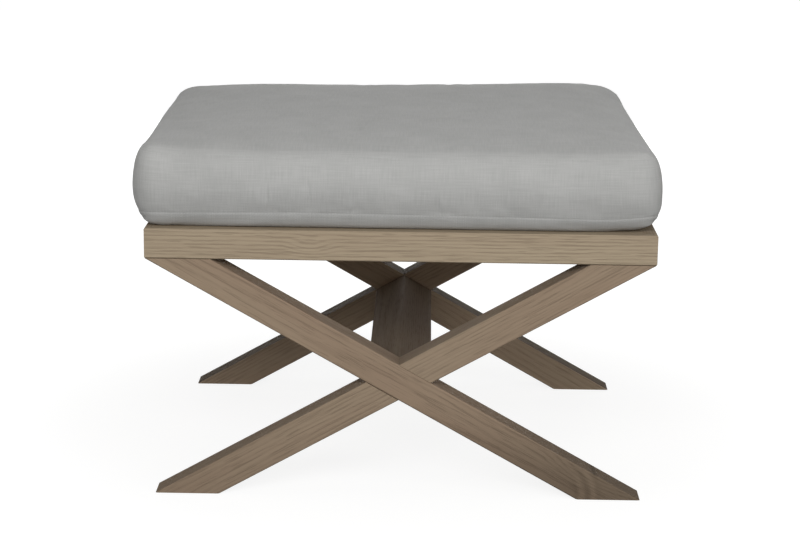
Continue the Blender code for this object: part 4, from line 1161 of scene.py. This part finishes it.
class OttomanLinen(bpy.types.PropertyGroup):
    """Shape and cloth of the cushion."""

    linen_pale: tint("Pale yarn", "the palest yarns", "#b8b8b6")
    linen_dark: tint("Dark yarn", "the darkest yarns", "#aaaaa8")
    thread: metres("Thread", "Width at which a thread is drawn", 0.9 * MM)
    half_width: metres("Half width", "From the middle to the side seams", 0.3195)
    half_depth: metres("Half depth", "From the middle to the front seams", 0.266)
    corner: metres("Front corners", "Radius of the front corners in plan", 0.022)
    corner_back: metres("Back corners", "Radius of the back corners in plan", 0.040)
    draw_in: metres("Draw-in", "How far the sides pull in between the corners", 0.0015)
    bulge: metres("Bulge", "How far the band stands out past its seams", 0.0095)
    fullest: metres("Fullest at", "Where the band stands out most, from its middle", -6.0 * MM)
    bulge_upper: plain("Upper turn", "More keeps the band's upper half upright for longer", 2.1, min=1.0)
    bulge_lower: plain("Lower turn", "More keeps the band's lower half upright for longer", 1.65, min=1.0)
    under_width: metres("Under width", "From the lower seam in to where the cushion rests", 0.025)
    edge_rise: metres("Edge rise", "Height of the top's turned edge over its seam", 4.5 * MM)
    edge_fullness: plain("Edge fullness", "More turns faster at the edge", 50.0, min=1.0, max=80.0)
    crown_fullness: plain("Crown fullness", "More rises faster from the seams", 3.5, min=1.0, max=20.0)
    under_start: plain("Under start", "Angle of the cloth at the lower seam, from upright", 0.35, min=0.0, max=1.2)
    pocket_half: metres("Zip slot", "Half the length of the slot of the zip", 0.2285)
    strip_half: metres("Strip ends", "From the middle to the seams at the ends of the back strips", 0.267)
    cells_x: whole("Cells across", "Cells of a panel, side to side", 150)
    cells_y: whole("Cells deep", "Cells of a panel, front to back", 124)
    seam_depth: metres("Seam depth", "How far a seam pulls in", 0.2 * MM)
    seam_half: metres("Seam half width", "Half the width of the groove at a seam", 0.8 * MM)
    seam_lip: metres("Seam lip", "Step at a seam over the folded allowance", 0.35 * MM)
    dent_size: metres("Dent size", "Width of the soft dents", 0.085)
    dent_depth: metres("Dent depth", "Depth of the soft dents", 1.0 * MM)
    cloth_frames: whole("Cloth frames", "Frames that the cloth settles for", 20)
    cloth_pressure: plain("Fill pressure", "Pressure of the filling in the simulation", 4.0)
    cloth_bending: plain("Cloth bending", "Bending stiffness in the simulation", 0.6)
    seam_gather: plain("Seam gather", "Share by which the seams' thread draws in", 0.035)
    gather_limit: metres("Gather limit", "The most that a wrinkle may move the cloth", 1.0 * MM)
    gather_share: plain("Gather share", "Share of the simulated wrinkles that is kept", 0.45, min=0.0, max=1.0)
    broad_passes: whole("Smoothing passes", "Passes that tell the broad swell from the wrinkles", 60)
    shift: metres("Shift", "How far the cushion lies to the right", -5.3 * MM)
    widen: plain("Widen", "Extra width, as a share", 0.0053)
    narrow: plain("Narrow", "How much narrower the top is, as a share", -0.0048)
    narrow_back: plain("Narrow back", "How much narrower still the top's back is, as a share", 0.008)
    lean: metres("Lean", "How far the top's back leans to the left", 7.2 * MM)
    low_spread: profile(
        "Low spread", "How far the lower edge spreads at its left end, left, right and right end, in mm",
        -1.2, 0.0, 0.0, 4.0,
    )
    back_rise: profile(
        "Back rise", "Rise of the top's back at six places from left to right, in mm", 1.5, 4.2, 6.0, 10.6, 12.4, 9.5
    )
    front_lean: metres("Front lean", "How far the front leans back, at its top", 4.5 * MM)
    front_roll: metres("Front roll", "How far the front rolls back next to its upper seam", 3.1 * MM)
    left_swell: metres("Left swell", "How much fuller the left side is along its middle", 2.8 * MM)
    slack_corner: metres("Slack corner", "How far the back right corner is drawn in", 0.8 * MM)
    seam_ride: profile(
        "Seam ride", "How far the front's lower seam rides up, from the left to the right, in mm",
        1.0, 3.7, 3.1, 1.9, -0.6,
    )
    corner_lift: metres("Corner lift", "How far the front right corner stands off the frame", 6.0 * MM)
    lower_out: metres("Lower seam out", "How far the lower seam stands out past the upper", 2.4 * MM)
    front_rise: profile(
        "Front rise", "Rise of the top's front from its left corner to its right, in mm", 0.6, -3.8, -4.2, -3.0, -1.8
    )


class OttomanFittings(bpy.types.PropertyGroup):
    """Zip, stitching and screws."""

    thread_colour: tint("Thread", "the topstitching", "#b4b4b1")
    tape_colour: tint("Tape", "the zip's tape", "#9a9a98")
    nylon_colour: tint("Coil", "the zip's coil", "#8f8f8d")
    zinc_colour: tint("Zinc", "the slider, pull and stops", "#b3b3b1")
    steel_colour: tint("Steel", "the screws", "#c6c8ca")
    coil_pitch: metres("Coil pitch", "From one loop of the coil to the next", 1.2 * MM)
    coil_wire: metres("Coil filament", "Diameter of the coil's filament", 0.6 * MM)
    pocket_half: metres("Zip slot", "Half the length of the slot of the zip", 0.2285)
    stitch_level: metres("Stitch line", "From the middle of the slot to the topstitching", 9.4 * MM)
    stitch_pitch: metres("Stitch length", "From one stitch to the next", 3.2 * MM)
    stitch_thread: metres("Thread width", "Diameter of the thread", 0.5 * MM)
    screw_pitch: metres("Screw pitch", "From one thread of a screw to the next", 1.6 * MM)


class OttomanStage(bpy.types.PropertyGroup):
    """Studio round the ottoman."""

    floor_colour: tint("Floor", "the floor", "#828281")
    floor_lift: plain("Floor lift", "White that the floor shows to the camera beside its own", 0.86)
    key_power: watts("Key", "Power of the front lamp", 40.5)
    left_power: watts("Left", "Power of the low lamp on the left", 2.2)
    low_power: watts("Low right", "Power of the low lamp on the right", 5.0)
    side_power: watts("Side", "Power of the side lamp", 14.0)
    top_power: watts("Top", "Power of the lamp above", 10.5)
    back_power: watts("Back", "Power of the lamp behind", 6.2)
    rear_power: watts("Rear", "Power of the low lamp behind, for the views of the back", 24.0)
    fill_power: watts("Side fill", "Power of the low lamps at either side, for the views of the sides", 5.0)
    ambient: plain("Ambient", "Strength of the room's light", 0.01)


# Operators


def dress(name, look):
    """Gives a CAD node its material."""
    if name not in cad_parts:
        raise RuntimeError(f"the frame has no {name}")
    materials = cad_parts[name].data.materials
    materials.clear()
    materials.append(look)


def settle(piece, body, slot, *nodes):
    """Puts a piece on its body, and hides the CAD nodes that it replaces. The slot is not used."""
    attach(piece, body)
    if nodes:
        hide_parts(*nodes)


def leg_lean():
    """How far the legs lean from level, from the box of a leg whose ends are cut level."""
    low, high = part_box("front_leg_through")
    wide, thick, tall = high - low
    return math.atan2(tall, wide) + math.asin(thick / math.hypot(wide, tall))


def wood_species(looks):
    """Oak, pine and beech. Sizes are in mm, and the rest are shares or how strongly a pattern shows."""
    colours = dict(pale=looks.oak_pale, warm=looks.oak_warm, dark=looks.oak_dark, pore=looks.oak_pore)
    rings = dict(ring_mm=looks.ring, sway_mm=42, sway=4.2, ripple=0.7, ring_strength=0.18)
    pores = dict(pore_mm=1.15, pores_from=0.52, pore_strength=0.22)
    oak = dict(**colours, **rings, **pores, streak=0.07, relief_mm=0.2, roughness=0.78)
    pine = dict(oak, pale="#d8b98a", warm="#cfa973", dark="#b98a52", pore="#a87a45", ring_mm=3.0, pore_strength=0.15)
    beech = dict(oak, pale="#cda37a", warm="#c29569", dark="#b5835a", pore="#8f6239", ring_mm=2.2, pore_strength=0.4)
    return oak, pine, beech


class OTTOMAN_OT_oak_frame(bpy.types.Operator):
    """Gives each rail, leg and the stretcher oak with its grain along the piece"""

    bl_idname = "ottoman.oak_frame"
    bl_label = "Oak frame"

    def execute(self, context):
        oak = wood_species(context.scene.ottoman_wood)[0]
        lean = leg_lean()
        wide, deep = (1, 0, 0), (0, 1, 0)
        down, up = ((math.cos(lean), 0, sign * math.sin(lean)) for sign in (-1, 1))
        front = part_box("front_leg_through")[0].y
        # Knots: place, reach, how many rings they bow by, and their core's size in mm
        swirl = (((-0.1126, front, 0.3254), 0.020, 1.6, 0),)
        pin_knot = (((0.2516, front, 0.0346), 0.042, 2.6, 3),)
        # Arches: place, first radius and spacing in mm, and how strongly they show
        arches = (((0.1930, front, 0.0030), 38.0, 15.0, 0.15),)
        # Grain, side across it, the log's middle from the piece's own, seed, warm share, tone, foot and upper. The
        # stretcher's low tone and every upper share under 1 are painted shade, for the shade of the seat and cushion.
        boards = {
            "front_rail": (wide, deep, (0.075, 0.045), 1, 0.25, 0.995, 1.0, 0.85, swirl),
            "back_rail": (wide, deep, (-0.060, 0.050), 2, 0.3, 1.0, 1.0, 0.85),
            "left_rail": (deep, wide, (0.055, 0.062), 3, 0.3, 1.0, 1.0, 0.85),
            "right_rail": (deep, wide, (-0.065, 0.040), 4, 0.25, 1.0, 1.0, 0.85),
            "front_leg_through": (down, deep, (0.085, 0.022), 5, 1.0, 0.965, 0.55, 0.78, pin_knot, arches),
            "front_leg_lapped": (up, deep, (0.070, -0.045), 6, 0.9, 0.935, 0.95, 0.74),
            "back_leg_through": (up, deep, (-0.060, 0.052), 7, 1.0, 0.93, 1.0, 0.27),
            "back_leg_lapped": (down, deep, (0.080, 0.030), 8, 0.8, 1.04, 1.0, 0.30),
            # The stretcher's tone of 0.42 is painted shade, for the shade it lies in under the seat.
            "stretcher": (deep, wide, (0.050, 0.070), 9, 1.0, 0.42, 1.0, 1.0),
        }
        for name, (along, across, pith, *rest) in boards.items():
            low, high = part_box(name)
            grain = (along, across, (low + high) / 2)
            dress(name, sawn_wood(f"weathered_oak_{name}", oak, grain, pith, *rest))
        return {"FINISHED"}


class OTTOMAN_OT_deck(bpy.types.Operator):
    """Gives the deck, tongues, blocks and dowels their wood"""

    bl_idname = "ottoman.deck"
    bl_label = "Deck and joinery"

    def execute(self, context):
        looks = context.scene.ottoman_wood
        _, pine, beech = wood_species(looks)
        ply = birch_plywood("birch_plywood", looks)
        blocks = sawn_wood("planed_pine", pine, ((1, 0, 0), (0, 1, 0), (0, 0, 0)), (0.05, 0.03), 10)
        pegs = sawn_wood("turned_beech", beech, ((0, 0, 1), (1, 0, 0), (0, 0, 0)), (0.04, 0.03), 11)
        for part, look in (("seat_deck", ply), ("mitre_tongue", ply), ("corner_block", blocks), ("dowel", pegs)):
            names = [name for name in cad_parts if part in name]
            if not names:
                raise RuntimeError(f"the frame has no {part}")
            for name in names:
                dress(name, look)
        return {"FINISHED"}


class OTTOMAN_OT_cushion(bpy.types.Operator):
    """Makes the linen cushion, with its seams and the wrinkles that a cloth simulation gives it"""

    bl_idname = "ottoman.cushion"
    bl_label = "Cushion"

    def execute(self, context):
        looks = context.scene.ottoman_linen
        cushion = cushion_object(looks)
        cushion.data.materials.append(washed_linen("washed_linen", looks))
        panels = ("cover_top", "cover_bottom", "cover_band", "cover_back_strip_upper", "cover_back_strip_lower")
        settle(cushion, "cushion", "linen", "foam_core", *panels)
        return {"FINISHED"}


class OTTOMAN_OT_zip(bpy.types.Operator):
    """Makes the zip's tapes, coils, slider and pull, and the topstitching beside it"""

    bl_idname = "ottoman.zip"
    bl_label = "Zip and topstitching"

    def execute(self, context):
        looks = context.scene.ottoman_fittings
        zinc = cast_zinc("tumbled_zinc", looks)
        tape = woven_tape("woven_polyester_tape", looks)
        nylon = nylon_coil("drawn_nylon", looks)
        for which in ("upper", "lower"):
            settle(tape_piece(f"zip_tape_{which}", tape), "cushion", "zip_tape", f"zip_tape_{which}")
            settle(coil_piece(f"zip_teeth_{which}", nylon, looks), "cushion", "nylon", f"zip_teeth_{which}")
        settle(slider_piece(zinc), "zip_slider", "zinc", "zip_slider")
        settle(pull_piece(zinc), "zip_pull", "zinc", "zip_pull")
        thread = polyester_thread("spun_polyester", looks)
        settle(stitches_piece(thread, looks, bpy.data.objects["linen_cushion"]), "cushion", "linen")
        for which in ("closed", "open"):
            settle(stop_piece(f"zip_stop_{which}", zinc), "cushion", "zinc", f"zip_stop_{which}")
        return {"FINISHED"}


class OTTOMAN_OT_screws(bpy.types.Operator):
    """Makes the countersunk screws of the corner blocks and the deck, with their cross recess and thread"""

    bl_idname = "ottoman.screws"
    bl_label = "Screws"

    def execute(self, context):
        looks = context.scene.ottoman_fittings
        steel = plated_steel("zinc_plated_steel", looks)
        nodes = sorted(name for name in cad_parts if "screw" in name)
        if not nodes:
            raise RuntimeError("the frame has no screws")
        shank = 1.8 * MM
        for name in nodes:
            head, outward, reach, radius = screw_place(name)
            place = Matrix.Translation(head) @ outward.to_track_quat("Z", "Y").to_matrix().to_4x4()
            rings = screw_rings(reach, radius, shank, looks)
            settle(solid(f"countersunk_{name}", skin(rings), steel, place), "frame", "steel", name)
        return {"FINISHED"}


class OTTOMAN_OT_stage(bpy.types.Operator):
    """Sets up the floor, the soft lamps and the camera"""

    bl_idname = "ottoman.stage"
    bl_label = "Studio"

    def execute(self, context):
        looks = context.scene.ottoman_stage
        scene = context.scene
        scene.view_settings.view_transform = "Standard"
        self.floor(scene, looks)
        self.room(scene, looks)
        # Power, size, place and height of the target of each lamp
        lamps = {
            "front_softbox": (looks.key_power, (1.8, 1.0), (-0.3, -2.3, 1.4), 0.35),
            "left_softbox": (looks.left_power, (1.0, 1.0), (-1.9, -1.6, 0.7), 0.25),
            "low_softbox": (looks.low_power, (1.0, 1.0), (1.9, -1.6, 0.7), 0.25),
            "side_softbox": (looks.side_power, (1.2, 1.2), (1.9, -1.7, 1.4), 0.30),
            "top_softbox": (looks.top_power, (2.0, 2.0), (0.0, 0.2, 2.4), 0.30),
            "back_softbox": (looks.back_power, (1.8, 1.2), (0.0, 2.6, 1.5), 0.25),
            "rear_softbox": (looks.rear_power, (1.6, 0.6), (0.0, 2.8, 0.34), 0.30),
            "left_fill": (looks.fill_power, (1.4, 0.6), (-2.8, 0.5, 0.34), 0.30),
            "right_fill": (looks.fill_power, (1.4, 0.6), (2.8, 0.5, 0.34), 0.30),
        }
        for name, (energy, (wide, high), place, target) in lamps.items():
            light = bpy.data.lights.new(name, "AREA")
            light.shape = "RECTANGLE"
            light.size, light.size_y = wide, high
            light.energy = energy
            lamp = bpy.data.objects.new(name, light)
            lamp.location = place
            lamp.rotation_euler = (Vector((0, 0, target)) - Vector(place)).to_track_quat("-Z", "Y").to_euler()
            scene.collection.objects.link(lamp)
        scene.camera = self.camera(scene)
        return {"FINISHED"}

    def floor(self, scene, looks):
        disc = bmesh.new()
        bmesh.ops.create_circle(disc, cap_ends=True, segments=96, radius=14.0)
        mesh = bpy.data.meshes.new("studio_floor")
        disc.to_mesh(mesh)
        disc.free()
        board = bpy.data.objects.new("studio_floor", mesh)
        # A little under the feet, so that the two faces don't flicker
        board.location.z = -0.4 * MM
        mesh.materials.append(studio_floor("matt_white_board", looks))
        scene.collection.objects.link(board)

    def room(self, scene, looks):
        """The room is white to the camera and in reflections, and an even dim light for the rest."""
        world = bpy.data.worlds.new("pale_room")
        world.use_nodes = True
        world.node_tree.nodes.clear()
        node = partial(add_node, world.node_tree)
        strength = node("MapRange", (seen_by_camera(node), 0, 1, looks.ambient, 1))[0]
        node("OutputWorld", (node("Background", (opaque("#ffffff"), strength))[0],))
        scene.world = world

    def camera(self, scene):
        """The camera, at the place and angles worked out from the straight edges of the frame."""
        pitch, yaw, roll = (math.radians(angle) for angle in (13.233, -0.667, 0.720))
        forward = Vector((math.sin(yaw) * math.cos(pitch), math.cos(yaw) * math.cos(pitch), -math.sin(pitch)))
        level = Vector((math.cos(yaw), -math.sin(yaw), 0))
        above = level.cross(forward)
        right = math.cos(roll) * level + math.sin(roll) * above
        up = math.cos(roll) * above - math.sin(roll) * level
        lens = bpy.data.cameras.new("studio_camera")
        lens.sensor_fit = "HORIZONTAL"
        lens.sensor_width = 36.0
        lens.lens = 93.72
        lens.clip_end = 60.0
        made = bpy.data.objects.new("studio_camera", lens)
        turn = Matrix((right, up, -forward)).transposed().to_4x4()
        made.matrix_world = Matrix.Translation((0.02928, -2.79989, 0.88695)) @ turn
        scene.collection.objects.link(made)
        return made


class OTTOMAN_PT_sidebar(bpy.types.Panel):
    """Steps that dress the ottoman"""

    bl_idname = "OTTOMAN_PT_sidebar"
    bl_label = "X-Frame Ottoman"
    bl_space_type = "VIEW_3D"
    bl_region_type = "UI"
    bl_category = "Ottoman"

    def draw(self, context):
        for operator in OPERATORS:
            self.layout.operator(operator.bl_idname)
        for group, _ in GROUPS:
            looks = getattr(context.scene, group)
            box = self.layout.box()
            for name in looks.__annotations__:
                box.prop(looks, name)


GROUPS = (
    ("ottoman_wood", OttomanWood),
    ("ottoman_linen", OttomanLinen),
    ("ottoman_fittings", OttomanFittings),
    ("ottoman_stage", OttomanStage),
)
OPERATORS = (
    OTTOMAN_OT_oak_frame,
    OTTOMAN_OT_deck,
    OTTOMAN_OT_cushion,
    OTTOMAN_OT_zip,
    OTTOMAN_OT_screws,
    OTTOMAN_OT_stage,
)


def register():
    for name, group in GROUPS:
        bpy.utils.register_class(group)
        setattr(bpy.types.Scene, name, bpy.props.PointerProperty(type=group))
    for shown in (*OPERATORS, OTTOMAN_PT_sidebar):
        bpy.utils.register_class(shown)


def unregister():
    for shown in (OTTOMAN_PT_sidebar, *reversed(OPERATORS)):
        bpy.utils.unregister_class(shown)
    for name, group in GROUPS:
        delattr(bpy.types.Scene, name)
        bpy.utils.unregister_class(group)


def main():
    register()
    bpy.ops.ottoman.oak_frame()
    bpy.ops.ottoman.deck()
    bpy.ops.ottoman.cushion()
    bpy.ops.ottoman.zip()
    bpy.ops.ottoman.screws()
    bpy.ops.ottoman.stage()


if __name__ == "__main__":
    main()
